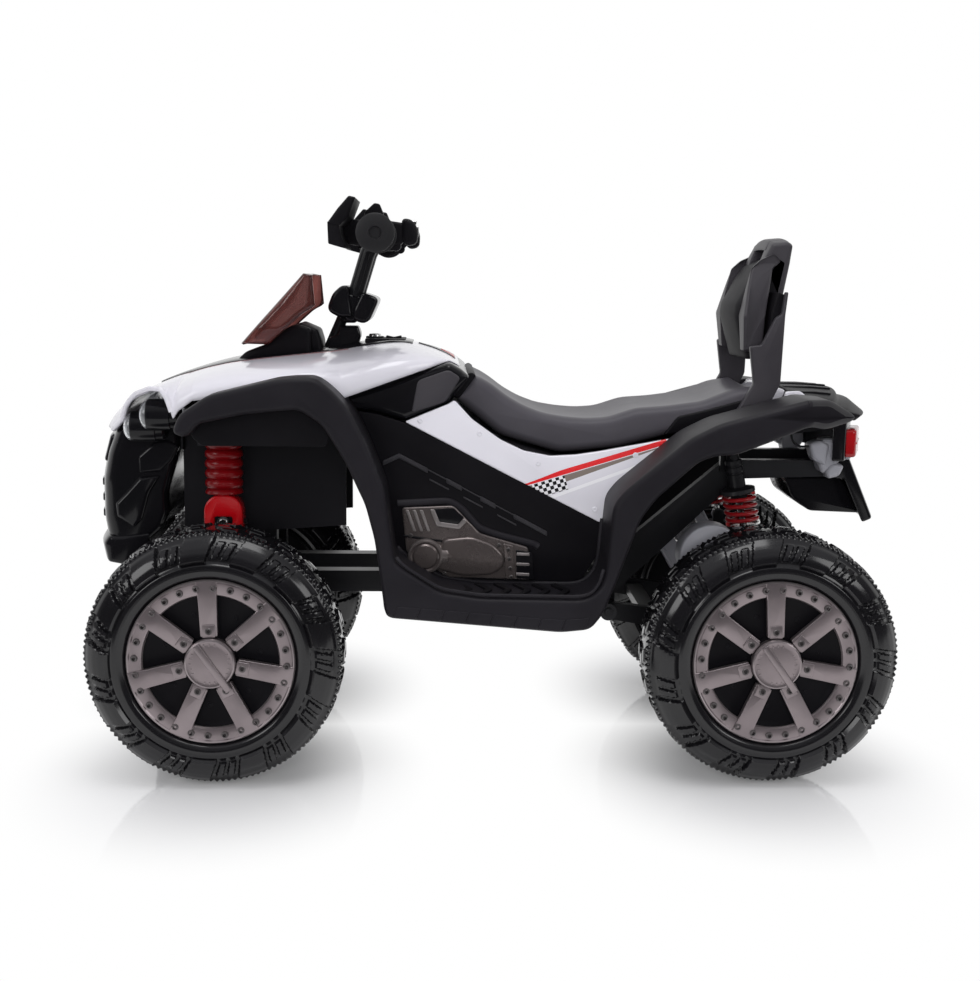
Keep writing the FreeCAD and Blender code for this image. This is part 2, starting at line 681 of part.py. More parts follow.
def add_frame():
    """Frame of two halves, cross members, the swing pivot pin and the steering bearing."""
    solids = []
    for solid in frame_side():
        solids.append(solid)
        solids.append(mirrored(solid))
    inner = frame_rail_inner + 1.0
    for x in (front_x + 40.0, along(-70.0), along(40.0), swing_pivot_x - 15.0):
        solids.append(block(x, x + 24.0, -inner, inner, rail_low + 6.0, rail_top))
    tray = block(along(-130.0), along(68.0), -inner, inner, rail_top - 6.0, rail_top)
    solids.append(tray)
    solids.append(rod(vec(swing_pivot_x, -swing_arm_half_track - 22.0, swing_pivot_z),
                      vec(swing_pivot_x, swing_arm_half_track + 22.0, swing_pivot_z), pivot_pin_radius))
    bearing_x = steering_axis_x((bearing_low + bearing_high) / 2)
    solids.append(block(bearing_x - 18.0, front_x + tower_rear_reach, -inner, inner, bearing_low, bearing_high))
    frame = fuse(solids)
    bore = rod(steering_axis_point(bearing_low - 20.0), steering_axis_point(bearing_high + 20.0),
               steering_shaft_radius + running_fit)
    add("chassis_frame", frame.cut(bore))
    add_wheel_wells()


# Inner panels of the front wheel arches
well_thickness = 3.0
well_top = 470.0
well_low_front = 300.0
well_low_rear = 316.0
well_rear_x = -204.0
well_flange_low = 424.0
nose_rear_x = -430.0


def add_wheel_wells():
    """Dark inner panels of the front wheel arches, on the tower's outer faces, with a flange behind the nose."""
    front = along(nose_rear_x) + face_gap
    low_front = well_low_front + body_lift
    rear, low_rear = at(well_rear_x, well_low_rear)
    notch_front = front_x - shelf_front_reach - face_gap
    notch_rear = front_x + tower_rear_reach + face_gap
    top = well_top + body_lift
    notch = front_shock_top - face_gap
    inner = frame_rail_outer + face_gap
    panel = prism([(front, low_front), (rear, low_rear), (rear, top), (notch_rear, top), (notch_rear, notch),
                   (notch_front, notch), (notch_front, top), (front, top)], inner, inner + well_thickness)
    flange = block(front, front + well_thickness, inner, nose_half_width, well_flange_low + body_lift, top)
    well = fuse([panel, flange])
    add("wheel_well_panels", well, mirrored(well))


# Steering: shaft with crank, clamp, handlebar, grips, guards and switch pods
bar_setback = 57.0
bar_x = steering_point_x + bar_setback
bar_z = 722.0
bar_radius = 11.0
bar_bore_radius = 9.0
bar_half_length = 246.0
riser_half_gap = 34.0
riser_radius = 9.0
clamp_z = 606.0
grip_inner = 140.0
grip_outer = 250.0
grip_radius = 18.0
grip_flange_radius = 24.5
pod_inner = 92.0
pod_outer = 134.0


def steering_shaft():
    """Raked shaft with a crank whose pin reaches the tie rod's plate."""
    shaft = rod(steering_axis_point(crank_height), steering_axis_point(clamp_z), steering_shaft_radius)
    foot_x = steering_axis_x(crank_height)
    crank = block(foot_x - 10.0, crank_pin_x + 7.0, -8.0, 8.0, crank_height - 5.0, crank_height + 5.0)
    pin = rod(vec(crank_pin_x, 0, tie_rod_height - 26.0), vec(crank_pin_x, 0, crank_height), crank_pin_radius)
    collar_low = steering_axis_point(bearing_high + 12.0)
    collar = rod(collar_low, steering_axis_point(bearing_high + 24.0), steering_shaft_radius + 6.0)
    return fuse([shaft, crank, pin, collar])


def handlebar_clamp():
    """Plastic shroud that clamps the risers to the shaft."""
    x = steering_point_x
    lower = soft_prism([(x - 17.0, 566.0), (x + 19.0, 574.0), (x + 37.0, 606.0), (x + 1.0, 616.0)], -26.0, 26.0, 4.0)
    upper = soft_prism([(x - 19.0, 608.0), (x - 11.0, 640.0), (x + 9.0, 646.0), (x + 55.0, 632.0), (x + 53.0, 604.0),
                        (x + 29.0, 594.0), (x + 1.0, 600.0)], -52.0, 52.0, 5.0)
    return fuse([lower, upper])


def handlebar():
    """Bent steel bar: two risers and a cross bar."""
    solids = [rod(vec(bar_x, -bar_half_length, bar_z), vec(bar_x, bar_half_length, bar_z), bar_radius)]
    foot = steering_axis_point(clamp_z + 12.0)
    for sign in SIDES.values():
        low = vec(foot.x + 4.0, sign * riser_half_gap, foot.z)
        solids.append(rod(low, vec(bar_x, sign * riser_half_gap, bar_z), riser_radius))
    bore = rod(vec(bar_x, -bar_half_length - 1.0, bar_z), vec(bar_x, bar_half_length + 1.0, bar_z), bar_bore_radius)
    return fuse(solids).cut(bore)


def grip():
    """Right grip: ribbed sleeve with an inner flange and a domed end cap."""
    y_cap = grip_outer - 12.0
    sleeve = rod(vec(bar_x, grip_inner, bar_z), vec(bar_x, y_cap, bar_z), grip_radius)
    flange = rod(vec(bar_x, grip_inner, bar_z), vec(bar_x, grip_inner + 6.0, bar_z), grip_flange_radius)
    cap = rod(vec(bar_x, y_cap, bar_z), vec(bar_x, grip_outer, bar_z), grip_flange_radius)
    bore = rod(vec(bar_x, grip_inner - 1.0, bar_z), vec(bar_x, bar_half_length + running_fit, bar_z),
               bar_radius + running_fit)
    return fuse([sleeve, flange, cap]).cut(bore)


def hand_guard():
    """Right hand guard: folded plate ahead of the grip on an arm from the bar."""
    x = bar_x
    plate = prism([(x - 25.0, 764.0), (x - 40.0, 764.0), (x - 61.0, 732.0), (x - 63.0, 702.0), (x - 45.0, 696.0),
                   (x - 49.0, 729.0)], 118.0, 232.0)
    arm_ring = rod(vec(bar_x, 118.0, bar_z), vec(bar_x, 136.0, bar_z), bar_radius + 7.0)
    arm = block(bar_x - 54.0, bar_x - bar_radius - 2.0, 118.0, 136.0, bar_z - 9.0, bar_z + 7.0)
    bore = rod(vec(bar_x, 100.0, bar_z), vec(bar_x, 140.0, bar_z), bar_radius + running_fit)
    return fuse([plate, arm, arm_ring]).cut(bore)


horn_radius = 7.0
horn_travel = 2.5
horn_length = 14.0
pod_reach = 50.0
pod_back = bar_x + pod_reach


def switch_pod():
    """Right switch pod, clamped on the bar, with a rear-facing boss."""
    ring = rod(vec(bar_x, pod_inner, bar_z), vec(bar_x, pod_outer - 18.0, bar_z), bar_radius + 6.0)
    box = soft_prism([(bar_x + 6.0, 706.0), (pod_back, 702.0), (pod_back, 736.0), (bar_x + 6.0, 740.0)],
                     pod_inner, pod_outer - 18.0, 5.0)
    bore = rod(vec(bar_x, pod_inner - 1.0, bar_z), vec(bar_x, pod_outer, bar_z), bar_radius + running_fit)
    return fuse([ring, box]).cut(bore)


def add_steering():
    """Everything that turns with the handlebar."""
    shaft = steering_shaft()
    bar = handlebar()
    add("steering_shaft", shaft)
    add("handlebar", bar)
    clamp_body = handlebar_clamp().cut(shaft).cut(bar)
    add("handlebar_clamp", clamp_body)
    right_grip = grip()
    add("grips", right_grip, mirrored(right_grip))
    guard = hand_guard()
    add("hand_guards", guard, mirrored(guard))
    pod = switch_pod()
    pod_y = (pod_inner + pod_outer - 18.0) / 2
    left_pod = mirrored(pod)
    socket = rod(vec(pod_back - horn_length + 3.0 - horn_travel - 0.5, -pod_y, bar_z),
                 vec(pod_back + 10.0, -pod_y, bar_z), horn_radius + running_fit)
    add("switch_pods", pod, left_pod.cut(socket))
    add("horn_button", rod(vec(pod_back - horn_length + 4.0, -pod_y, bar_z),
                           vec(pod_back + 4.0, -pod_y, bar_z), horn_radius))


# Side-view outlines of the body, as (x, z) on the left side
fender_top_line = [at(*p) for p in (
    (-410, 462), (-389, 489), (-359, 509), (-255, 535), (-233, 535), (-214, 522), (-188, 494), (-169, 455),
    (-144, 391), (-131, 299), (-122, 290), (-72, 258), (-19, 250), (112, 248), (128, 254), (140, 268),
    (145, 287), (149, 340), (152, 373), (167, 392), (250, 458), (288, 478), (398, 507), (441, 505), (467, 495))]
fender_low_line = [at(*p) for p in (
    (432, 470), (380, 459), (309, 435), (270, 435), (207, 380), (188, 353), (158, 268), (143, 229), (126, 207),
    (87, 203), (-140, 222), (-145, 234), (-146, 245), (-157, 325), (-169, 371), (-195, 427), (-224, 474),
    (-254, 494), (-379, 470), (-401, 457))]
tub_outline = [at(*p) for p in (
    (-138, 250), (tub_rear_x, 250), (146, 331), (240, 430), (262, 446), (176, 427), (93, 419), (10, 443), (-55, 489),
    (-61, 490), (-121, 465), (-160, 476), (-200, 480), (-200, 455), (-186, 430), (-163, 380), (-147, 325))]
side_panel_outline = [at(*p) for p in (
    (-137, 260), (120, 250), (143, 331), (-121, 468), (-160, 480), (-199, 485), (-199, 455), (-186, 430),
    (-163, 380), (-147, 325))]
side_cover_outline = [at(*p) for p in (
    (-121, 469), (-61, 494), (-54, 499), (8, 446), (76, 426), (144, 431), (235, 448), (264, 454), (154, 332),
    (144, 332))]
engine_outline = [at(*p) for p in (
    (-124, 355), (-52, 359), (-18, 319), (47, 301), (51, 254), (-60, 258), (-118, 293))]
deck_outline = [at(*p) for p in ((250, 434), (300, 441), (470, 466), (470, 478), (262, 452.5), (258, 446))]
seat_top_line = [at(*p) for p in (
    (-57, 499), (-30, 533), (-1, 519), (43, 490), (101, 475), (160, 474), (199, 488), (291, 498), (334, 515),
    (371, 520))]
seat_low_line = [at(*p) for p in ((371, 466.4), (262, 453), (176, 430), (93, 422), (10, 446))]
shroud_outline = [at(*p) for p in (
    (-204, 486), (-160, 481), (-121, 469.5), (-61, 494.5), (-57, 499), (-33, 531), (-45, 541), (-61, 551),
    (-204, 503))]
nose_outline = [at(*p) for p in (
    (-528, 454), (-543, 420), (-547, 381), (-546, 308), (-540, 284), (-510, 277), (-474, 326), (-438, 382),
    (nose_rear_x, 437), (-432, 466), (-500, 474))]
bumper_outline = [at(*p) for p in (
    (-556, 276), (-553, 250), (-524, 245), (-508, 262), (-510, 276.7), (-540, 283.7), (-546, 290))]
light_cutout = [at(*p) for p in (
    (-511, 466), (-496, 488), (-476, 504), (-438, 509), (-430, 496), (-424, 476), (-424, 430), (-511, 430))]
windscreen_outline = [at(*p) for p in ((-356, 566), (-262, 667), (-250, 660), (-251, 616), (-313, 566))]
rack_outline = [at(*p) for p in (
    (402, 469.8), (470, 478), (505, 478), (530, 462), (538, 470), (515, 492), (474, 508), (456, 514), (414, 516))]
tail_cover_outline = [at(*p) for p in ((374, 466.5), (401, 469.8), (412, 512), (392, 516), (376, 504))]
plate_outline = [at(*p) for p in (
    (498.3, 388), (498.3, 470), (505, 477.5), (517, 470), (517, 420), (556, 330), (540, 324), (512, 388))]
bracket_outline = [at(*p) for p in (
    (336, 461.6), (388, 468), (390, 520), (394, 560), (399, 647), (389, 647), (370, 600), (350, 575), (352, 531))]
shell_outline = [at(*p) for p in (
    (350, 565), (367, 566), (384, 613), (396, 646), (397, 690), (402, 717), (376, 720), (362, 699), (351, 683),
    (338, 626), (337, 600))]
pad_outline = [at(*p) for p in (
    (349.6, 565), (336.7, 600), (337.7, 626), (350.7, 683), (354.7, 689.5), (346, 688), (330, 664), (319, 622),
    (322, 592), (334, 562))]


# Hood: crowned sections at stations along the bike
hood_stations = (
    (-541, 454, 92, 441), (-530, 470, 108, 446), (-490, 500, 150, 468), (-420, 529, 196, 484),
    (-360, 545, 208, 500), (-232, 559, 200, 512), (-131, 573, 160, 528), (-74, 557, 132, 542),
    (-47, 543, 118, 536))
hood_section_points = 12
crown_power = 0.55
dash_start_x = -470.0
dash_end_x = -112.0
dash_front_half_width = 28.0
dash_half_width = 74.0
dash_rear_half_width = 46.0
dash_gap = 0.3


def hood_section(station, wall):
    """Arch across the bike: half sine in width, flattened cosine in height."""
    x, z_top, half_width, z_edge = station
    x, z_top = at(x, z_top)
    z_edge += body_lift
    points = []
    for index in range(hood_section_points + 1):
        angle = math.pi * (index / hood_section_points - 0.5)
        y = (half_width - wall) * math.sin(angle)
        height = max(0.0, math.cos(angle)) ** crown_power
        points.append(vec(x, y, z_edge + (z_top - wall - z_edge) * height))
    return points


def hood_shell():
    """Whole arched cover, before the dash opening is cut."""
    sections = []
    for station in hood_stations:
        sections.append(hood_section(station, 0.0) + hood_section(station, shell_wall)[::-1])
    return loft(sections)


def dash_footprint(shrink):
    """Upright prism over the black centre panel."""
    s = shrink
    corners = [(dash_start_x + s, dash_front_half_width - s), (-380.0, dash_half_width - s),
               (-230.0, dash_half_width - s), (dash_end_x - s, dash_rear_half_width - s)]
    ring = [at(x, 0)[:1] + (y,) for x, y in corners] + [at(x, 0)[:1] + (-y,) for x, y in corners[::-1]]
    points = [vec(x, y, 380.0 + body_lift) for x, y in ring]
    return Part.Face(Part.makePolygon(points + points[:1])).extrude(vec(0, 0, 320.0))


plate_length = 58.0
plate_margin = 10.0
plate_x1 = along(dash_end_x) - plate_margin
plate_x0 = plate_x1 - plate_length
plate_half_width = 36.0
plate_rise = 4.0
plate_top = 573.0 + plate_rise
plate_depth = 22.0
start_x = plate_x0 + 13.0
start_radius = 9.0
start_travel = 2.0
rocker_x = plate_x0 + 40.0
rocker_half_length = 11.0
rocker_half_width = 7.0
rocker_height = 5.0
rocker_swing_room = 1.4
column_hole_radius = 34.0


def add_hood():
    """Hood, black centre panel with instrument hump and switch plate, and windscreen."""
    shell = hood_shell()
    wheel_side = prism(fender_top_line[:10] + [at(-131, 300), at(-410, 300)],
                       -fender_outer_half_width - 10.0, -body_face)
    light_side = prism(light_cutout, -fender_outer_half_width, -nose_half_width)
    hood = shell.cut(dash_footprint(0.0)).cut(wheel_side).cut(mirrored(wheel_side))
    hood = hood.cut(light_side).cut(mirrored(light_side))
    add("hood", max(hood.Solids, key=lambda solid: solid.Volume))
    panel = shell.common(dash_footprint(dash_gap))
    hump = soft_prism([at(*p) for p in ((-360, 541), (-356, 567), (-318, 572), (-270, 604), (-256, 596), (-258, 553))],
                      -58.0, 58.0, 5.0)
    plate = block(plate_x0, plate_x1, -plate_half_width, plate_half_width,
                  plate_top - plate_depth + body_lift, plate_top + body_lift)
    column_hole = rod(steering_axis_point(480.0), steering_axis_point(640.0), column_hole_radius)
    start_bore = rod(vec(start_x, 0, 540.0), vec(start_x, 0, 620.0), start_radius + running_fit)
    slot_half = rocker_half_length + rocker_swing_room
    slot = block(rocker_x - slot_half, rocker_x + slot_half,
                 -rocker_half_width - hinge_room / 2, rocker_half_width + hinge_room / 2, 540.0, 620.0)
    pin_bore = rod(vec(rocker_x, -rocker_half_width - 6.0, plate_top + body_lift - 6.0),
                   vec(rocker_x, rocker_half_width + 6.0, plate_top + body_lift - 6.0), 2.0 + running_fit)
    dash = fuse([panel, hump, plate]).cut(Part.makeCompound([column_hole, start_bore, slot, pin_bore]))
    add("dash_panel", *dash.Solids)
    start_low = plate_top + body_lift - 14.0
    add("start_button", rod(vec(start_x, 0, start_low), vec(start_x, 0, plate_top + body_lift + 5.0), start_radius))
    rocker = block(rocker_x - rocker_half_length, rocker_x + rocker_half_length, -rocker_half_width,
                   rocker_half_width, plate_top + body_lift - 9.0, plate_top + body_lift + rocker_height - 2.0)
    trunnion = rod(vec(rocker_x, -rocker_half_width - 4.0, plate_top + body_lift - 6.0),
                   vec(rocker_x, rocker_half_width + 4.0, plate_top + body_lift - 6.0), 2.0)
    add("direction_switch", fuse([rocker, trunnion]))
    outer = prism(windscreen_outline, -82.0, 82.0)
    hollow = prism(windscreen_outline, -79.0, 79.0)
    hollow.translate(vec(4.0, 0, -4.0))
    wide_hump = soft_prism([at(*p) for p in ((-360.3, 520), (-356.3, 567.3), (-318, 572.3), (-270, 604.4), (-252, 596), (-252, 520))],
                           -58.3, 58.3, 5.0)
    add("windscreen", outer.cut(hollow).cut(shell).cut(wide_hump))


def fender_surround():
    """Left fender surround: one band from front flare over the footboard to the rear flare."""
    outline = fender_top_line + fender_low_line
    inboard = -body_face
    band = prism(outline, -fender_outer_half_width, inboard)
    hollow = prism(inset(outline, shell_wall), shell_wall - fender_outer_half_width, inboard - shell_wall)
    return band.cut(hollow)


pedal_x = along(52.0)
pedal_z = 259.0
pedal_length = 84.0
pedal_width = 46.0
pedal_clearance = 26.0
pedal_inner = body_face + pedal_clearance
pedal_outer = pedal_inner + pedal_width
pedal_rise = math.radians(14.0)
pedal_pin_radius = 3.0
pedal_ear = 6.0


def pedal_ears():
    """Two ears on the right footboard that carry the pedal's pin."""
    solids = []
    for y in (pedal_inner - pedal_ear - face_gap, pedal_outer + face_gap):
        ear = block(pedal_x - 8.0, pedal_x + 8.0, y, y + pedal_ear, 244.0 + body_lift, pedal_z + 6.0)
        bore = rod(vec(pedal_x, y - 1.0, pedal_z), vec(pedal_x, y + pedal_ear + 1.0, pedal_z),
                   pedal_pin_radius + running_fit)
        solids.append((ear, bore))
    return solids


def foot_pedal():
    """Pedal plate that rises towards the front, with its hinge pin."""
    dx = math.cos(pedal_rise)
    dz = math.sin(pedal_rise)
    x0 = pedal_x + 4.0
    plate = prism([(x0, pedal_z - 3.0), (x0, pedal_z + 4.0),
                   (x0 - pedal_length * dx, pedal_z + 4.0 + pedal_length * dz),
                   (x0 - pedal_length * dx, pedal_z - 2.0 + pedal_length * dz)], pedal_inner, pedal_outer)
    pin = rod(vec(pedal_x, pedal_inner - pedal_ear, pedal_z), vec(pedal_x, pedal_outer + pedal_ear, pedal_z),
              pedal_pin_radius)
    return fuse([plate, pin])


def add_side_bodywork():
    """Tub with its side panels, fender surrounds, side covers and engine covers."""
    outer = prism(tub_outline, -body_half_width, body_half_width)
    hollow_line = inset(tub_outline, shell_wall)
    hollow = prism(hollow_line, shell_wall - body_half_width, body_half_width - shell_wall)
    below = hollow.copy()
    below.translate(vec(0, 0, -2 * shell_wall))
    deck = prism(deck_outline, -body_half_width, body_half_width)
    panel = prism(side_panel_outline, -body_face, -body_half_width)
    tub = fuse([outer, deck, panel, mirrored(panel)]).cut(hollow).cut(below)
    add("body_tub", tub)
    left = fender_surround()
    add("fender_surround_left", left)
    right = mirrored(left)
    for ear, bore in pedal_ears():
        right = right.fuse(ear).cut(bore)
    add("fender_surround_right", right.removeSplitter())
    add("foot_pedal", foot_pedal())
    cover = prism(side_cover_outline, -body_face, -body_half_width)
    add("side_covers", cover, mirrored(cover))
    face = -body_face
    engine = prism(engine_outline, face - 9.0, face)
    barrel_x, barrel_z = at(-92, 288)
    barrel = rod(vec(barrel_x, face - 14.0, barrel_z), vec(barrel_x, face, barrel_z), 24.0)
    cylinder = rod(vec(barrel_x, face - 8.0, barrel_z), vec(at(-10, 0)[0], face - 8.0, barrel_z), 18.0)
    behind = block(front_x, rear_x, face, 0.0, 200.0, 500.0)
    cover = fuse([engine, barrel, cylinder]).cut(behind).cut(left)
    cover = max(cover.Solids, key=lambda solid: solid.Volume)
    add("engine_covers", cover, mirrored(cover))
    screws = []
    for x, z in ((-100, 472), (-20, 455), (60, 415), (138, 352), (192, 427)):
        sx, sz = at(x, z)
        screws.append(rod(vec(sx, face - 2.0, sz), vec(sx, face, sz), 4.0))
    for screw in screws:
        add("body_screws", screw, mirrored(screw))


seat_edge_drop = 16.0
seat_near_drop = 5.0
seat_round_width = 14.0
seat_flat_half_width = 50.0
seat_wall = 6.0


def add_tank_and_seat():
    """Tank shroud and the moulded seat."""
    outer = prism(shroud_outline, -body_face, body_face)
    inner_half = body_face - shell_wall
    hollow = prism(shroud_outline, -inner_half, inner_half)
    hollow.translate(vec(-shell_wall, 0, -1.5))
    below = prism([at(*p) for p in ((-215, 470), (-62, 470), (-62, 491), (-215, 491))], -inner_half, inner_half)
    clear = hood_shell_clear()
    shroud = outer.cut(hollow).cut(below).cut(clear)
    add("tank_shroud", *[s for s in shroud.Solids if s.Volume > 1500.0])
    edge = seat_half_width
    near = seat_half_width - seat_round_width
    sections = []
    for y, drop in ((-edge, seat_edge_drop), (-near, seat_near_drop), (-seat_flat_half_width, 0.0),
                    (seat_flat_half_width, 0.0), (near, seat_near_drop), (edge, seat_edge_drop)):
        sections.append([vec(x, y, z) for x, z in seat_outline(drop)])
    hollow = prism(inset(seat_outline(seat_edge_drop), seat_wall), -near, near)
    add("seat", loft(sections).cut(hollow))


def seat_outline(drop):
    """Seat's side view with its top line lowered, as towards its rounded edges."""
    return seat_top_line[:1] + [(x, z - drop) for x, z in seat_top_line[1:]] + seat_low_line


def hood_shell_clear():
    """Space under the hood's skin, kept free for it."""
    sections = []
    for station in hood_stations:
        x, z_top, half_width, z_edge = station
        raised = (x, z_top + 40.0, half_width + 0.3, z_edge - 0.3)
        sections.append(hood_section(raised, 0.0))
    return loft(sections)


bracket_gap = 1.0
bracket_thickness = 12.0
grab_slot_half_width = 52.0
grab_slot_low = 694.0
grab_slot_height = 16.0
pad_half_width = 86.0


def add_backrest():
    """Brackets, shell with a grab slot, and front pad."""
    inner = seat_half_width + bracket_gap
    outer = inner + bracket_thickness
    arm = prism(bracket_outline, inner, outer)
    add("backrest_brackets", arm, mirrored(arm))
    shell = soft_prism(shell_outline, -outer - 2.0, outer + 2.0, 3.0)
    slot = block(at(330.0, 0)[0], at(440.0, 0)[0], -grab_slot_half_width, grab_slot_half_width,
                 grab_slot_low + body_lift, grab_slot_low + grab_slot_height + body_lift)
    shell = shell.cut(slot).cut(arm).cut(mirrored(arm))
    add("backrest_shell", *shell.Solids)
    add("backrest_pad", prism(pad_outline, -pad_half_width, pad_half_width))


rack_half_width = 126.0
lamp_inner = 56.0
plate_hole_half_spacing = 30.0
plate_hole_z = 445.0
plate_hole_radius = 2.6
lamp_outer = 128.0
lamp_back_depth = 50.0
lamp_wire_radius = 1.6


def wire_path(points, radius):
    """Round wire along straight runs with tangent arcs as large as the runs allow."""
    edges = []
    start = points[0]
    radii = []
    for before, corner, after in zip(points, points[1:], points[2:]):
        back = (before - corner).normalize()
        ahead = (after - corner).normalize()
        reach = 0.45 * min((before - corner).Length, (after - corner).Length)
        turn = math.pi - back.getAngle(ahead)
        radii.append(reach / math.tan(turn / 2))
        entry = corner + back * reach
        leave = corner + ahead * reach
        centre_way = (back + ahead).normalize()
        centre = corner + centre_way * (radii[-1] / math.cos(turn / 2))
        middle = centre - centre_way * radii[-1]
        edges.append(Part.LineSegment(start, entry).toShape())
        edges.append(Part.Arc(entry, middle, leave).toShape())
        start = leave
    edges.append(Part.LineSegment(start, points[-1]).toShape())
    path = Part.Wire(edges)
    ring = Part.Wire([Part.makeCircle(radius, points[0], points[1] - points[0])])
    tube = path.makePipeShell([ring], True, False)
    share = tube.Volume / (math.pi * radius ** 2 * path.Length)
    print("wire radii", [round(r, 1) for r in radii], f"volume share {share:.4f}")
    return tube


def add_tail():
    """Tail cover, rack, rear panel, lamps with their backs, and lamp wires."""
    add("tail_cover", prism(tail_cover_outline, -80.0, 80.0))
    rack_hollow = prism(inset(rack_outline, shell_wall), shell_wall - rack_half_width, rack_half_width - shell_wall)
    add("rear_rack", soft_prism(rack_outline, -rack_half_width, rack_half_width, 2.5).cut(rack_hollow))
    back_x = at(498.3, 0)[0]
    face_x = at(517, 0)[0]
    panel = block(back_x, face_x, -132.0, 132.0, 416.0 + body_lift, 469.0 + body_lift)
    holes = []
    for sign in SIDES.values():
        start = vec(back_x - 10.0, sign * plate_hole_half_spacing, plate_hole_z + body_lift)
        holes.append(rod(start, start + vec(40.0, 0, 0), plate_hole_radius))
    bracket = fuse([prism(plate_outline, -88.0, 88.0), panel])
    add("plate_bracket", bracket.cut(Part.makeCompound(holes)))
    for sign in SIDES.values():
        lens = block(face_x, face_x + 15.0, lamp_inner, lamp_outer, 422.0 + body_lift, 462.0 + body_lift)
        edges = [e for e in lens.Edges if e.BoundBox.XMin > face_x + 14.0]
        lens = lens.makeFillet(6.0, edges)
        housing = block(back_x - lamp_back_depth, back_x, lamp_inner + 30.0, lamp_outer, 414.0 + body_lift, 458.0 + body_lift)
        add("tail_lamps", lens if sign > 0 else mirrored(lens))
        add("tail_lamp_housings", housing if sign > 0 else mirrored(housing))
        y = 118.0
        deck_z = 457.4 + body_lift
        route = [vec(at(412, 0)[0], y, deck_z), vec(at(412.4, 0)[0], y, deck_z - 8.0),
                 vec(at(417, 0)[0], y, deck_z - 16.5), vec(at(426, 0)[0], y, deck_z - 21.5),
                 vec(at(437, 0)[0], y, deck_z - 20.0), vec(back_x - lamp_back_depth, y, deck_z - 20.0)]
        wire = wire_path(route, lamp_wire_radius)
        add("tail_lamp_wires", wire if sign > 0 else mirrored(wire))


headlight_radius = 21.0
headlight_rim = 3.0


def add_front_end():
    """Nose fascia, bumper and headlights."""
    outer = prism(nose_outline, -nose_half_width, nose_half_width)
    hollow = prism(inset(nose_outline, shell_wall), shell_wall - nose_half_width, nose_half_width - shell_wall)
    behind = hollow.copy()
    behind.translate(vec(2 * shell_wall, 0, 0))
    add("nose_fascia", outer.cut(hollow).cut(behind).cut(hood_shell_clear()))
    add("front_bumper", prism(bumper_outline, -102.0, 102.0))
    for sign in SIDES.values():
        solids = []
        lenses = []
        for x, y, z, length in ((-490, 124, 458, 46), (-463, 152, 477, 44)):
            cx, cz = at(x, z)
            solids.append(rod(vec(cx, y, cz), vec(cx + length, y, cz), headlight_radius))
            lenses.append((cx, y, cz))
        arm = block(at(-466, 0)[0], at(-440, 0)[0], nose_half_width, 152.0, 436.0 + body_lift, 450.0 + body_lift)
        body = fuse(solids + [arm])
        for cx, y, cz in lenses:
            body = body.cut(rod(vec(cx - 1.0, y, cz), vec(cx + 8.0, y, cz), headlight_radius - headlight_rim))
            lens = rod(vec(cx + 1.0, y, cz), vec(cx + 8.0, y, cz), headlight_radius - headlight_rim - running_fit)
            add("headlight_lenses", lens if sign > 0 else mirrored(lens))
        add("headlight_housings", body if sign > 0 else mirrored(body))


def add_electrics():
    """Battery and control box on the frame's tray, inside the tub."""
    add("battery", block(along(-62.0), along(56.0), -48.0, 48.0, rail_top, rail_top + 96.0))
    add("control_box", block(along(-128.0), along(-74.0) - face_gap, -40.0, 40.0, rail_top, rail_top + 40.0))


def main():
    """Build every piece and write one file for each."""
    os.makedirs("parts", exist_ok=True)
    add_wheels()
    add_front_axle()
    add_rear_axle()
    add_frame()
    add_steering()
    add_hood()
    add_side_bodywork()
    add_tank_and_seat()
    add_backrest()
    add_tail()
    add_front_end()
    add_electrics()
    for name, solids in pieces.items():
        shape = solids[0] if len(solids) == 1 else Part.makeCompound(solids)
        state = "valid" if shape.isValid() else "NOT VALID"
        print(name, len(shape.Solids), state)
        shape.exportStep(f"parts/{name}.step")


main()
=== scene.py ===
"""Looks of a children's electric quad bike, dressed around its packed construction model."""

import logging
import math
from dataclasses import dataclass, field
from enum import Enum
from typing import Any

import bmesh
import bpy
import numpy as np
from mathutils import Matrix, Vector


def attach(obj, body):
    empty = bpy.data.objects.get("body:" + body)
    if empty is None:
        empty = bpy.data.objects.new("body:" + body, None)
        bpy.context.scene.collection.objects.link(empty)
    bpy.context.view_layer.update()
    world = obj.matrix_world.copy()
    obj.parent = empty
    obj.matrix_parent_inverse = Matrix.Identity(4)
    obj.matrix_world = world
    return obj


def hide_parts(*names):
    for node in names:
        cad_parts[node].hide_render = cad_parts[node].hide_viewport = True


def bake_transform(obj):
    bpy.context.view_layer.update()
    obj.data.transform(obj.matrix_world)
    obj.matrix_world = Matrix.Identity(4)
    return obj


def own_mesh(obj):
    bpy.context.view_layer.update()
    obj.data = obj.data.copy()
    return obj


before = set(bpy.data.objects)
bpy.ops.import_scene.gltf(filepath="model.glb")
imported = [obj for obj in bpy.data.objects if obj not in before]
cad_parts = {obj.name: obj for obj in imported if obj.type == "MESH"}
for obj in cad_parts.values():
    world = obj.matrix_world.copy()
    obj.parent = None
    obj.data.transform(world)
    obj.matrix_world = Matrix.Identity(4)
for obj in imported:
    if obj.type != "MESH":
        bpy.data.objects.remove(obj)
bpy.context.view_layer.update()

MM = 0.001
LOG = logging.getLogger("quad_bike")
Array = np.ndarray
Rows = Array | list[list[float]]
Point = tuple[float, float, float]
HALF_WHEELBASE = 366.0


class Plane(Enum):
    """Plane of an outline: its two axes, then the axis that it is carried along."""

    SIDE = (0, 2, 1)
    TOP = (0, 1, 2)
    FRONT = (1, 2, 0)


class Side(Enum):
    """Side of the bike, as the sign of y."""

    LEFT = -1
    RIGHT = 1


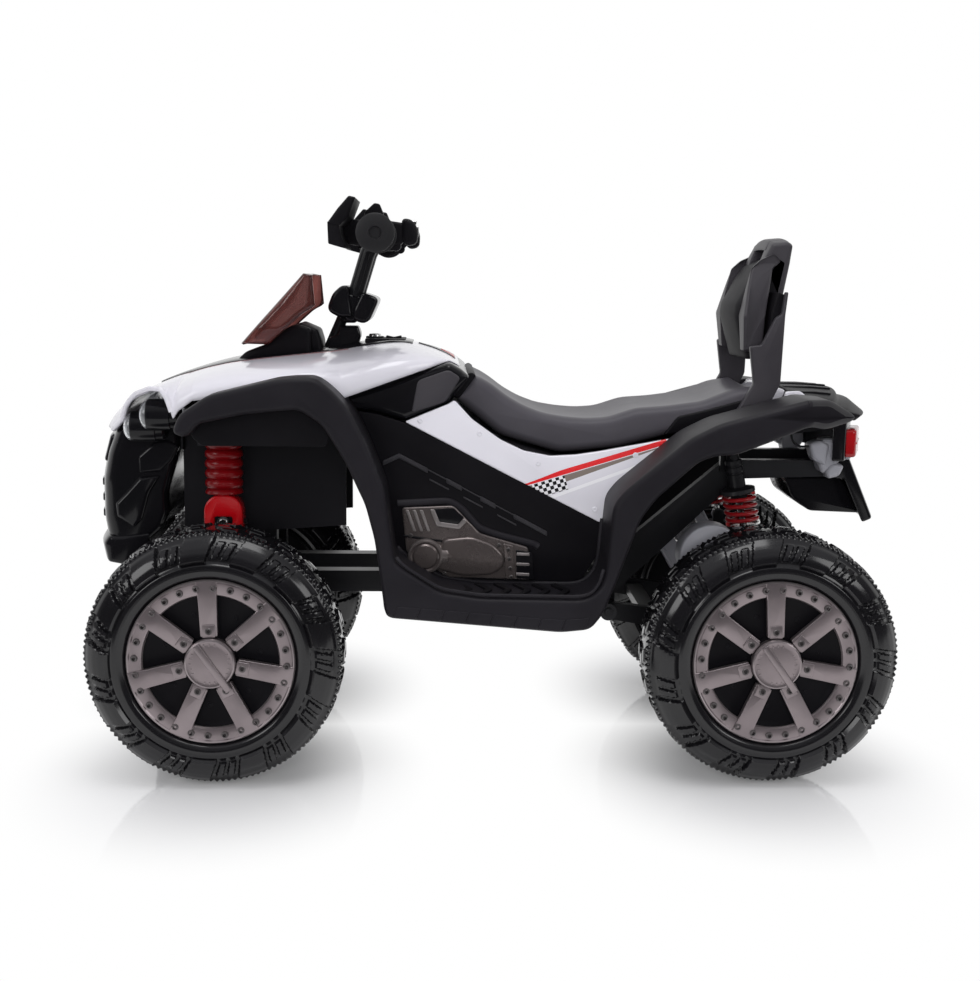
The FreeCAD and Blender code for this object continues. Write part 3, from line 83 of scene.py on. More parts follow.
@dataclass
class Shell:
    """Points, quads and end faces of a surface, in millimetres, with named values per point."""

    points: Array
    quads: Array
    caps: list[Array] = field(default_factory=list)
    marks: dict[str, Array] = field(default_factory=dict)

    def __add__(self, other: "Shell") -> "Shell":
        """Both surfaces as one, the other's faces counted on from this one's points."""
        shift = len(self.points)
        marks = {}
        for key in sorted(set(self.marks) | set(other.marks)):
            first = self.marks.get(key, np.zeros(shift))
            second = other.marks.get(key, np.zeros(len(other.points)))
            marks[key] = np.concatenate([first, second])
        return Shell(
            np.vstack([self.points, other.points]),
            np.vstack([self.quads, other.quads + shift]),
            self.caps + [cap + shift for cap in other.caps],
            marks,
        )

    def moved(self, x: float = 0.0, y: float = 0.0, z: float = 0.0) -> "Shell":
        """The surface shifted along the axes."""
        return self.reshaped(self.points + np.array([x, y, z]))

    def turned(self, axis: int, degrees: float, about: Point) -> "Shell":
        """The surface turned round an axis through a point.

        Args:
            axis: 0, 1 or 2 for x, y or z.
            degrees: right-handed angle.
            about: point on the axis.

        Returns:
            The turned surface.
        """
        one, two = (axis + 1) % 3, (axis + 2) % 3
        angle = math.radians(degrees)
        local = self.points - np.array(about)
        made = local.copy()
        made[:, one] = local[:, one] * math.cos(angle) - local[:, two] * math.sin(angle)
        made[:, two] = local[:, one] * math.sin(angle) + local[:, two] * math.cos(angle)
        return self.reshaped(made + np.array(about))

    def mirrored(self) -> "Shell":
        """The surface on the other side of the bike, its faces turned back outwards."""
        points = self.points * np.array([1.0, -1.0, 1.0])
        return Shell(points, self.quads[:, ::-1], [cap[::-1] for cap in self.caps], self.marks)

    def on(self, side: Side) -> "Shell":
        """The surface, made for the left, on the side asked for."""
        return self if side is Side.LEFT else self.mirrored()

    def reshaped(self, points: Array) -> "Shell":
        """The same faces on moved points."""
        return Shell(points, self.quads, self.caps, self.marks)

    def both(self) -> "Shell":
        """The surface together with its mirror image."""
        return self + self.mirrored()

    def repeated(self, offsets: Array) -> "Shell":
        """One copy of the surface at each offset, all as one array.

        Args:
            offsets: shifts, one row of x, y, z each.

        Returns:
            The copies as one surface.
        """
        count, size = len(offsets), len(self.points)
        points = (offsets[:, None, :] + self.points[None]).reshape(-1, 3)
        steps = np.arange(count) * size
        quads = (steps[:, None, None] + self.quads[None]).reshape(-1, 4)
        caps = [cap + step for step in steps for cap in self.caps]
        marks = {key: np.tile(value, count) for key, value in self.marks.items()}
        return Shell(points, quads, caps, marks)


def joined(shells: list[Shell]) -> Shell:
    """All the surfaces as one."""
    made = shells[0]
    for shell in shells[1:]:
        made = made + shell
    return made


def grid(points: Array, wrap: bool = True, ring: bool = False, capped: bool = False) -> Shell:
    """Quads over a grid of points, row u and column v.

    Args:
        points: array of rows, columns and x, y, z.
        wrap: the columns close on themselves.
        ring: the rows close on themselves.
        capped: the first and last row get an end face.

    Returns:
        The surface.
    """
    rows, columns = points.shape[:2]
    index = np.arange(rows * columns).reshape(rows, columns)
    caps = [index[0][::-1], index[-1]] if capped else []
    if wrap:
        index = np.hstack([index, index[:, :1]])
    if ring:
        index = np.vstack([index, index[:1]])
    corners = [index[:-1, :-1], index[:-1, 1:], index[1:, 1:], index[1:, :-1]]
    return Shell(points.reshape(-1, 3), np.stack(corners, -1).reshape(-1, 4), caps)


def eased(value: Array, low: float, high: float) -> Array:
    """Smooth step: 0 below low, 1 above high, 3t^2 - 2t^3 between."""
    part = np.clip((value - low) / (high - low), 0.0, 1.0)
    return part * part * (3.0 - 2.0 * part)


def between(value: Array, low: float, high: float, soft: float) -> Array:
    """A mask that is 1 between low and high, with soft flanks."""
    return eased(value, low - soft, low) * (1.0 - eased(value, high, high + soft))


def curve_through(knots: Array, at: Array) -> Array:
    """Cubic Hermite curve through knots, its slopes the harmonic mean of the neighbours' slopes.

    Args:
        knots: rows of position and one or more values, positions rising.
        at: positions to read.

    Returns:
        The values there, one row per position, or one number for single values.
    """
    x, y = knots[:, 0], knots[:, 1:]
    step = np.diff(x)[:, None]
    secant = np.diff(y, axis=0) / step
    product = secant[:-1] * secant[1:]
    total = secant[:-1] + secant[1:]
    safe = np.where(np.abs(total) < 1e-9, 1.0, total)
    middle = np.where(product > 0, 2.0 * product / safe, 0.0)
    slope = np.vstack([secant[:1], middle, secant[-1:]])
    place = np.clip(np.searchsorted(x, at, side="right") - 1, 0, len(x) - 2)
    width = step[place]
    t = np.clip((at - x[place])[:, None] / width, 0.0, 1.0)
    start = y[place] * (1 + 2 * t) * (1 - t) ** 2 + slope[place] * width * t * (1 - t) ** 2
    end = y[place + 1] * t * t * (3 - 2 * t) + slope[place + 1] * width * t * t * (t - 1)
    made = start + end
    return made[:, 0] if made.shape[1] == 1 else made


def corner_curves(corners: Array, back: Array, ahead: Array, radius: float, steps: int) -> Array:
    """Quadratic curves (1-u)^2 a + 2u(1-u) c + u^2 b that round the corners c.

    Args:
        corners: rows of coordinates.
        back: the point before each corner.
        ahead: the point after each corner.
        radius: how far from the corner a and b lie, less on short sides.
        steps: points on each curve.

    Returns:
        The curves' points in order.
    """
    to_back, to_ahead = back - corners, ahead - corners
    far_back = np.linalg.norm(to_back, axis=1, keepdims=True)
    far_ahead = np.linalg.norm(to_ahead, axis=1, keepdims=True)
    a = corners + to_back / far_back * np.minimum(radius, 0.46 * far_back)
    b = corners + to_ahead / far_ahead * np.minimum(radius, 0.46 * far_ahead)
    u = np.linspace(0.0, 1.0, steps)[None, :, None]
    made = (1 - u) ** 2 * a[:, None] + 2 * u * (1 - u) * corners[:, None] + u**2 * b[:, None]
    return made.reshape(-1, corners.shape[1])


def rounded(corners: Rows, radius: float, steps: int = 5) -> Array:
    """A closed outline with each corner rounded by a quadratic curve.

    Args:
        corners: rows of two coordinates.
        radius: how far from the corner a and b lie, less on short sides.
        steps: points on each corner.

    Returns:
        The rounded outline, anticlockwise.
    """
    corners = np.asarray(corners, float)
    ahead = np.roll(corners, -1, axis=0)
    if np.sum(corners[:, 0] * ahead[:, 1] - ahead[:, 0] * corners[:, 1]) < 0:
        corners = corners[::-1]
        ahead = np.roll(corners, -1, axis=0)
    return corner_curves(corners, np.roll(corners, 1, axis=0), ahead, radius, steps)


def evenly(outline: Array, pitch: float, closed: bool = True) -> Array:
    """An outline or line with points put in, so that none are further apart than about the pitch.

    Args:
        outline: rows of coordinates.
        pitch: largest spacing wanted.
        closed: the last point joins the first.

    Returns:
        The same line with its own points kept and others between them.
    """
    line = np.vstack([outline, outline[:1]]) if closed else outline
    length = np.linalg.norm(np.diff(line, axis=0), axis=1)
    run = np.concatenate([[0.0], np.cumsum(length)])
    extra = np.arange(0.0, run[-1], pitch)
    near = np.abs(extra[:, None] - run[None, :]).min(axis=1)
    stops = np.sort(np.concatenate([run[:-1] if closed else run, extra[near > 0.4 * pitch]]))
    return np.stack([np.interp(stops, run, column) for column in line.T], axis=1)


def inward(outline: Array) -> tuple[Array, Array]:
    """Inward normals of an anticlockwise outline, and the room at each point.

    The room is the radius of the largest circle that touches the point from inside:
    the least |q - p|^2 / (2 n.(q - p)) over all other points q.

    Args:
        outline: rows of two coordinates.

    Returns:
        Normals and radii.
    """
    along = np.roll(outline, -1, axis=0) - np.roll(outline, 1, axis=0)
    along /= np.maximum(np.linalg.norm(along, axis=1, keepdims=True), 1e-9)
    normal = np.stack([-along[:, 1], along[:, 0]], axis=1)
    gap = outline[None, :, :] - outline[:, None, :]
    reach = np.einsum("ijk,ik->ij", gap, normal)
    square = np.einsum("ijk,ijk->ij", gap, gap)
    radius = np.where(reach > 1e-4, square / (2 * np.maximum(reach, 1e-4)), 1e6)
    return normal, radius.min(axis=1)


def slab(
    outline: Array,
    low: float,
    high: float,
    edges: tuple[float, float] = (2.0, 2.0),
    plane: Plane = Plane.SIDE,
    steps: int = 4,
    depth: tuple[float, float] | None = None,
    inner: int = 0,
) -> Shell:
    """A closed outline carried along an axis, its two rims rolled in by quarter ellipses.

    Args:
        outline: anticlockwise rows of two coordinates.
        low: start along the axis.
        high: end along the axis.
        edges: inset of the roll at the start and at the end.
        plane: plane of the outline.
        steps: levels in each roll.
        depth: how far the rolls reach along the axis, the inset itself if not given.
        inner: further levels between the rolls, for a later bend.

    Returns:
        The closed surface.
    """
    normal, room = inward(outline)
    reach = depth or edges
    angle = np.linspace(0.0, math.pi / 2, steps)
    share = np.minimum(1.0, 0.85 * room / max(max(edges), 1e-6))
    first = np.stack([low + reach[0] * (1 - np.sin(angle)), edges[0] * (1 - np.cos(angle))], 1)[::-1]
    last = np.stack([high - reach[1] * (1 - np.sin(angle)), edges[1] * (1 - np.cos(angle))], 1)
    flat_part = np.linspace(first[-1, 0], last[0, 0], inner + 2)[1:-1]
    levels = np.vstack([first, np.stack([flat_part, np.zeros(inner)], 1), last])
    flat = outline[None] + normal[None] * levels[:, 1, None, None] * share[None, :, None]
    points = np.zeros((len(levels), len(outline), 3))
    one, two, along = plane.value
    points[..., one] = flat[..., 0]
    points[..., two] = flat[..., 1]
    points[..., along] = levels[:, 0, None]
    return grid(points, capped=True)


def lathe(profile: Rows, centre: Point, axis: int, count: int = 48) -> Shell:
    """A profile of rows (place along the axis, radius) turned round an axis, with end faces.

    Args:
        profile: rows of place and radius.
        centre: point that the places count from.
        axis: 0, 1 or 2 for x, y or z.
        count: points round the axis.

    Returns:
        The closed surface.
    """
    profile = np.asarray(profile, float)
    turn = np.linspace(0.0, 2 * math.pi, count, endpoint=False)
    points = np.zeros((len(profile), count, 3))
    points[..., axis] = profile[:, 0, None]
    points[..., (axis + 1) % 3] = profile[:, 1, None] * np.cos(turn)
    points[..., (axis + 2) % 3] = profile[:, 1, None] * np.sin(turn)
    return grid(points + np.array(centre), capped=True)


def tube(
    path: Array,
    radius: Array | float,
    count: int = 16,
    up: Point = (0, 1, 0),
) -> Shell:
    """A circle carried along a path, square to it, with end faces.

    Args:
        path: rows of x, y, z.
        radius: one radius, or one per point.
        count: points round the circle.
        up: direction that the path never takes.

    Returns:
        The closed surface.
    """
    along = np.gradient(path, axis=0)
    along /= np.linalg.norm(along, axis=1, keepdims=True)
    across = np.cross(along, np.array(up, float))
    across /= np.linalg.norm(across, axis=1, keepdims=True)
    other = np.cross(along, across)
    turn = np.linspace(0.0, 2 * math.pi, count, endpoint=False)
    size = np.broadcast_to(np.asarray(radius, float), (len(path),))[:, None, None]
    circle = across[:, None] * np.cos(turn)[None, :, None] + other[:, None] * np.sin(turn)[None, :, None]
    return grid(path[:, None] + size * circle, capped=True)


def bend(corners: Array, radius: float, steps: int = 6) -> Array:
    """An open line with its inner corners rounded by quadratic curves.

    Args:
        corners: rows of x, y, z.
        radius: how far from a corner its curve starts.
        steps: points on each corner.

    Returns:
        The smooth line.
    """
    inner = corner_curves(corners[1:-1], corners[:-2], corners[2:], radius, steps)
    return np.vstack([corners[:1], inner, corners[-1:]])


def at_side(line: Rows, y: float) -> Array:
    """Rows of (x, z) as rows of (x, y, z) at one y."""
    return np.insert(np.asarray(line, float), 1, y, axis=1)


def screw_heads(
    places: Rows, axis: int, sign: float, radius: float, height: float, count: int = 12
) -> Shell:
    """Domed screw heads with a sunk socket, one at each place.

    Args:
        places: rows of x, y, z on the surface.
        axis: axis that the heads stand along.
        sign: +1 or -1, the way they stand.
        radius: radius of a head.
        height: how far a head stands out.
        count: points round a head.

    Returns:
        All heads as one surface.
    """
    profile = [[-1, 1], [0.45, 1], [0.85, 0.82], [1, 0.5], [0.45, 0.42], [0.45, 0.1]]
    one = lathe(profile * np.array([sign * height, radius]), (0.0, 0.0, 0.0), axis, count)
    return one.repeated(np.asarray(places, float))


class Value:
    """A shader socket that takes part in arithmetic; each operation adds a Math node."""

    def __init__(self, nodes: "Nodes", socket: Any) -> None:
        """Keeps the node tree that the socket belongs to."""
        self.nodes = nodes
        self.socket = socket

    def maths(self, operation: str, *terms: Any) -> "Value":
        """The result of one Math node on these terms."""
        sockets = dict(enumerate(terms))
        return self.nodes.value("ShaderNodeMath", {"operation": operation}, sockets)

    def __add__(self, other: Any) -> "Value":
        """Sum."""
        return self.maths("ADD", self, other)

    __radd__ = __add__

    def __sub__(self, other: Any) -> "Value":
        """Difference."""
        return self.maths("SUBTRACT", self, other)

    def __rsub__(self, other: Any) -> "Value":
        """Difference from a number."""
        return self.maths("SUBTRACT", other, self)

    def __mul__(self, other: Any) -> "Value":
        """Product."""
        return self.maths("MULTIPLY", self, other)

    __rmul__ = __mul__

    def __truediv__(self, other: Any) -> "Value":
        """Quotient."""
        return self.maths("DIVIDE", self, other)

    def __rtruediv__(self, other: Any) -> "Value":
        """Quotient of a number by this."""
        return self.maths("DIVIDE", other, self)

    def __mod__(self, other: Any) -> "Value":
        """Remainder that stays positive."""
        return self.maths("FLOORED_MODULO", self, other)

    def __abs__(self) -> "Value":
        """Size without the sign."""
        return self.maths("ABSOLUTE", self)

    def __gt__(self, other: Any) -> "Value":
        """1 where this is greater."""
        return self.maths("GREATER_THAN", self, other)

    def __lt__(self, other: Any) -> "Value":
        """1 where this is less."""
        return self.maths("LESS_THAN", self, other)

    def ramp(self, low: float, high: float) -> "Value":
        """0 at low, 1 at high and smooth between."""
        settings = {"interpolation_type": "SMOOTHSTEP"}
        sockets = {"Value": self, "From Min": low, "From Max": high}
        return self.nodes.value("ShaderNodeMapRange", settings, sockets)


Colour = tuple[float, float, float]
Settings = dict[str, Any] | None
Sockets = dict[Any, Any] | None


class Nodes:
    """A node tree in the making."""

    def __init__(self, tree: Any) -> None:
        """Starts from an empty tree."""
        self.tree = tree
        self.tree.nodes.clear()

    def node(self, kind: str, settings: Settings = None, sockets: Sockets = None) -> Any:
        """Adds a node.

        Args:
            kind: the node's type.
            settings: its properties, set first.
            sockets: values or links of its inputs, by name or number.

        Returns:
            The node.
        """
        made = self.tree.nodes.new(kind)
        for key, value in (settings or {}).items():
            setattr(made, key, value)
        for key, value in (sockets or {}).items():
            self.feed(made.inputs[key], value)
        return made

    def feed(self, socket: Any, value: Any) -> None:
        """Links a socket to a Value or another socket, or sets its number or colour."""
        if isinstance(value, Value):
            self.tree.links.new(value.socket, socket)
        elif isinstance(value, bpy.types.NodeSocket):
            self.tree.links.new(value, socket)
        elif isinstance(value, tuple) and len(value) == 3 and socket.type == "RGBA":
            socket.default_value = (*value, 1.0)
        else:
            socket.default_value = value

    def value(
        self, kind: str, settings: Settings = None, sockets: Sockets = None, output: Any = 0
    ) -> Value:
        """Adds a node and gives one of its outputs as a Value."""
        return Value(self, self.node(kind, settings, sockets).outputs[output])


class Paint(Nodes):
    """A material in the making: its node tree and its shader."""

    def __init__(self, name: str) -> None:
        """Starts an empty material with one Principled shader."""
        self.material = bpy.data.materials.new(name)
        self.material.use_nodes = True
        super().__init__(self.material.node_tree)
        self.shader = self.node("ShaderNodeBsdfPrincipled")
        self.output = self.node("ShaderNodeOutputMaterial")
        self.tree.links.new(self.shader.outputs[0], self.output.inputs["Surface"])
        self.place = self.node("ShaderNodeTexCoord").outputs["Object"]

    def set(self, **inputs: Any) -> "Paint":
        """Sets inputs of the shader; an underscore in a name stands for a space."""
        for key, value in inputs.items():
            self.feed(self.shader.inputs[key.replace("_", " ")], value)
        return self

    def noise(self, scale: float, detail: float = 3.0, rough: float = 0.5) -> Value:
        """Noise on object coordinates, from 0 to 1."""
        sockets = {"Vector": self.place, "Scale": scale, "Detail": detail, "Roughness": rough}
        return self.value("ShaderNodeTexNoise", None, sockets, "Fac")

    def cells(self, scale: float) -> Value:
        """Distance to the nearest of scattered cell centres."""
        return self.value("ShaderNodeTexVoronoi", None, {"Vector": self.place, "Scale": scale}, "Distance")

    def axis(self, name: str) -> Value:
        """One object coordinate, in metres."""
        return self.value("ShaderNodeSeparateXYZ", None, {0: self.place}, name)

    def mark(self, name: str) -> Value:
        """A named value of the piece's points."""
        settings = {"attribute_name": name, "attribute_type": "GEOMETRY"}
        return self.value("ShaderNodeAttribute", settings, None, "Fac")

    def edge(self, low: float = 0.52, high: float = 0.60) -> Value:
        """Where the surface is sharp and convex, from its pointiness."""
        return self.value("ShaderNodeNewGeometry", None, None, "Pointiness").ramp(low, high)

    def mix(self, share: Any, first: Any, second: Any) -> Any:
        """A colour between two colours."""
        settings = {"data_type": "RGBA"}
        return self.node("ShaderNodeMix", settings, {0: share, 6: first, 7: second}).outputs[2]

    def bump(self, height: Value, strength: float, distance: float = 0.001) -> None:
        """Feeds a height to the shader's normal."""
        sockets = {"Height": height, "Strength": strength, "Distance": distance}
        self.set(Normal=self.node("ShaderNodeBump", None, sockets).outputs[0])


@dataclass(frozen=True)
class Moulding:
    """Finish of moulded or painted plastic and of metal: colour, gloss and grain."""

    colour: Colour
    shade: Colour
    worn: Colour
    rough: tuple[float, float] = (0.3, 0.4)
    grain: float = 900.0
    bump: float = 0.1
    metal: float = 0.0
    coat: float = 0.0
    wear: float = 0.35
    shine: float = 0.5

    def paint(self, name: str) -> Paint:
        """The finish as a paint: blotched colour, pale worn edges, uneven gloss and a fine grain.

        Args:
            name: name of the material.

        Returns:
            The paint, ready for more layers.
        """
        paint = Paint(name)
        cloud = paint.noise(14.0, 4.0).ramp(0.3, 0.7)
        fleck = paint.noise(self.grain, 2.0)
        base = paint.mix(cloud * 0.7 + fleck * 0.3, self.colour, self.shade)
        base = paint.mix(paint.edge() * self.wear, base, self.worn)
        low, high = self.rough
        smear = paint.noise(45.0, 5.0, 0.65)
        paint.set(Base_Color=base, Roughness=low + (high - low) * (smear * 0.6 + fleck * 0.4))
        paint.set(
            Metallic=self.metal, Coat_Weight=self.coat, Coat_Roughness=0.08,
            Specular_IOR_Level=self.shine)
        paint.bump(fleck * 0.6 + paint.cells(self.grain * 0.6) * 0.4, self.bump, 0.0004)
        return paint

    def material(self, name: str) -> Any:
        """The finish as a material."""
        return self.paint(name).material


@dataclass(frozen=True)
class Glass:
    """Finish of clear or tinted moulded panes and lenses."""

    tint: Colour
    deep: Colour
    rough: float = 0.06
    clear: float = 0.9

    def material(self, name: str) -> Any:
        """Tinted see-through plastic with faint flow marks; the deep tint gathers at its edges.

        Args:
            name: name of the material.

        Returns:
            The material.
        """
        paint = Paint(name)
        flow = paint.noise(30.0, 3.0).ramp(0.25, 0.75)
        base = paint.mix(flow * 0.5 + paint.edge(0.5, 0.58) * 0.5, self.tint, self.deep)
        paint.set(Base_Color=base, Roughness=self.rough + paint.noise(160.0) * 0.05, IOR=1.46)
        paint.set(Transmission_Weight=self.clear)
        paint.bump(paint.noise(60.0, 2.0), 0.02)
        return paint.material


class Finish(Enum):
    """The bike's finishes by their slot."""

    WHITE = "white_panel", Moulding(
        (0.70, 0.686, 0.745), (0.665, 0.652, 0.71), (0.76, 0.75, 0.79),
        rough=(0.14, 0.22), grain=400.0, bump=0.02, coat=0.35, wear=0.2)
    GLOSS = "black_gloss", Moulding(
        (0.004, 0.004, 0.005), (0.006, 0.0055, 0.007), (0.03, 0.03, 0.035),
        rough=(0.12, 0.22), grain=500.0, bump=0.03, coat=0.05, wear=0.25, shine=0.24)
    CHARCOAL = "charcoal", Moulding(
        (0.060, 0.056, 0.066), (0.074, 0.070, 0.081), (0.12, 0.118, 0.126),
        rough=(0.36, 0.48), grain=1500.0, bump=0.035, wear=0.3, shine=0.2)
    MATTE = "black_matte", Moulding(
        (0.0042, 0.0038, 0.005), (0.0065, 0.006, 0.0075), (0.02, 0.02, 0.023),
        rough=(0.4, 0.54), grain=1400.0, bump=0.03, wear=0.25, shine=0.12)
    TYRE = "tyre_black", Moulding(
        (0.004, 0.0038, 0.0046), (0.007, 0.0065, 0.008), (0.02, 0.02, 0.023),
        rough=(0.11, 0.19), grain=700.0, bump=0.015, wear=0.3)
    DARK_BRONZE = "bronze", Moulding(
        (0.030, 0.025, 0.026), (0.020, 0.017, 0.018), (0.26, 0.24, 0.24),
        rough=(0.28, 0.4), grain=2400.0, bump=0.05, metal=0.6, coat=0.1, wear=0.5)
    BRONZE = "bronze", Moulding(
        (0.30, 0.255, 0.265), (0.21, 0.178, 0.186), (0.55, 0.51, 0.51),
        rough=(0.24, 0.36), grain=2600.0, bump=0.05, metal=0.82, coat=0.1, wear=0.5)
    ENGINE = "bronze", Moulding(
        (0.19, 0.160, 0.155), (0.13, 0.110, 0.107), (0.5, 0.46, 0.45),
        rough=(0.22, 0.34), grain=2600.0, bump=0.05, metal=0.75, coat=0.1, wear=0.6)
    PALE_BRONZE = "bronze", Moulding(
        (0.34, 0.31, 0.31), (0.26, 0.235, 0.235), (0.55, 0.51, 0.5),
        rough=(0.24, 0.36), grain=2600.0, bump=0.05, metal=0.7, coat=0.15, wear=0.5)
    FENDER = "charcoal", Moulding(
        (0.010, 0.0091, 0.0115), (0.014, 0.0128, 0.016), (0.045, 0.043, 0.048),
        rough=(0.4, 0.52), grain=1500.0, bump=0.035, wear=0.3, shine=0.14)
    # Lighter copy of the charcoal: painted light on the lit facets of the backrest arms and bolsters, and a
    # painted highlight on the shroud facets.
    ARM = "charcoal", Moulding(
        (0.034, 0.031, 0.037), (0.043, 0.040, 0.046), (0.09, 0.088, 0.094),
        rough=(0.38, 0.5), grain=1500.0, bump=0.035, wear=0.3, shine=0.3)
    # Lighter than the panel's own black: a painted highlight on the ledge's upper bevel.
    LEDGE = "black_matte", Moulding(
        (0.018, 0.017, 0.020), (0.026, 0.025, 0.029), (0.07, 0.07, 0.075),
        rough=(0.34, 0.48), grain=1400.0, bump=0.03, wear=0.4, shine=0.3)
    PAD = "pad", Moulding(
        (0.014, 0.0135, 0.0152), (0.019, 0.0183, 0.0205), (0.03, 0.03, 0.032),
        rough=(0.5, 0.64), grain=700.0, bump=0.08, wear=0.2, shine=0.1)
    GRIP = "grip_rubber", Moulding(
        (0.008, 0.0078, 0.009), (0.012, 0.0115, 0.013), (0.035, 0.035, 0.036),
        rough=(0.4, 0.55), grain=1200.0, bump=0.06, wear=0.25, shine=0.3)
    BLACK_STEEL = "black_steel", Moulding(
        (0.005, 0.005, 0.006), (0.008, 0.008, 0.009), (0.05, 0.05, 0.055),
        rough=(0.26, 0.4), grain=1600.0, bump=0.03, wear=0.3, shine=0.2)
    STEEL = "bare_steel", Moulding(
        (0.62, 0.61, 0.60), (0.5, 0.5, 0.5), (0.8, 0.8, 0.8),
        rough=(0.16, 0.3), grain=1800.0, bump=0.05, metal=1.0, wear=0.3)
    RED = "red_plastic", Moulding(
        (0.46, 0.003, 0.007), (0.34, 0.002, 0.005), (0.6, 0.05, 0.05),
        rough=(0.2, 0.3), bump=0.05, coat=0.2, wear=0.3, shine=0.35)
    RED_RUBBER = "red_rubber", Moulding(
        (0.16, 0.002, 0.004), (0.115, 0.0014, 0.003), (0.3, 0.012, 0.012),
        rough=(0.22, 0.34), grain=1100.0, bump=0.04, wear=0.3, shine=0.3)
    RED_SPRING = "red_spring", Moulding(
        (0.28, 0.004, 0.008), (0.19, 0.003, 0.006), (0.5, 0.05, 0.05),
        rough=(0.25, 0.4), grain=1300.0, bump=0.06, coat=0.2, wear=0.4, shine=0.35)
    SHOCK = "shock_black", Moulding(
        (0.006, 0.006, 0.007), (0.010, 0.0098, 0.0115), (0.05, 0.05, 0.055),
        rough=(0.22, 0.36), grain=1300.0, bump=0.03, wear=0.3, shine=0.35)
    GREY = "grey_plastic", Moulding(
        (0.30, 0.30, 0.33), (0.25, 0.25, 0.28), (0.45, 0.45, 0.47),
        rough=(0.3, 0.45), grain=1300.0, bump=0.03, wear=0.3)
    CLEAR = ("clear_lens", Glass((0.95, 0.96, 0.98), (0.75, 0.78, 0.82)))
    RED_LENS = ("red_lens", Glass((0.42, 0.006, 0.010), (0.26, 0.004, 0.006), 0.1, 0.1))
    ROSE = ("rose_screen", Glass((0.25, 0.088, 0.076), (0.12, 0.040, 0.036), 0.07, 0.75))

    def material(self) -> Any:
        """The finish as a material, made once."""
        name = f"{self.name.lower()}_finish"
        return bpy.data.materials.get(name) or self.value[1].material(name)


@dataclass
class Piece:
    """One finished piece: its surface, its finish and how it is closed off."""

    name: str
    shell: Shell
    finish: Finish
    body: str = "chassis"
    stands_for: tuple[str, ...] = ()
    wall: float = 0.0
    sharp: float = 38.0
    material: Any = None

    def build(self) -> Any:
        """Puts the surface into a mesh in metres and sets it on its body.

        Returns:
            The object.
        """
        mesh = bpy.data.meshes.new(self.name)
        faces = self.shell.quads.tolist() + [cap.tolist() for cap in self.shell.caps]
        mesh.from_pydata((self.shell.points * MM).tolist(), [], faces)
        for key, numbers in self.shell.marks.items():
            layer = mesh.attributes.new(key, "FLOAT", "POINT")
            layer.data.foreach_set("value", numbers.astype(np.float32))
        self.face_outwards(mesh)
        mesh.shade_smooth()
        mesh.set_sharp_from_angle(angle=math.radians(self.sharp))
        mesh.materials.append(self.material or self.finish.material())
        made = bpy.data.objects.new(self.name, mesh)
        bpy.context.scene.collection.objects.link(made)
        self.finish_shape(made)
        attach(made, self.body)
        if self.stands_for:
            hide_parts(*self.stands_for)
        LOG.info("%s: %d points on %s", self.name, len(mesh.vertices), self.body)
        return made

    def face_outwards(self, mesh: Any) -> None:
        """Turns all faces of a closed surface outwards; an open wall keeps the way it was made."""
        if self.wall:
            return
        work = bmesh.new()
        work.from_mesh(mesh)
        bmesh.ops.recalc_face_normals(work, faces=work.faces)
        work.to_mesh(mesh)
        work.free()

    def finish_shape(self, made: Any) -> None:
        """Adds the wall that the piece asks for."""
        if self.wall:
            wall = made.modifiers.new("wall", "SOLIDIFY")
            wall.thickness = self.wall * MM
            wall.offset = -1.0


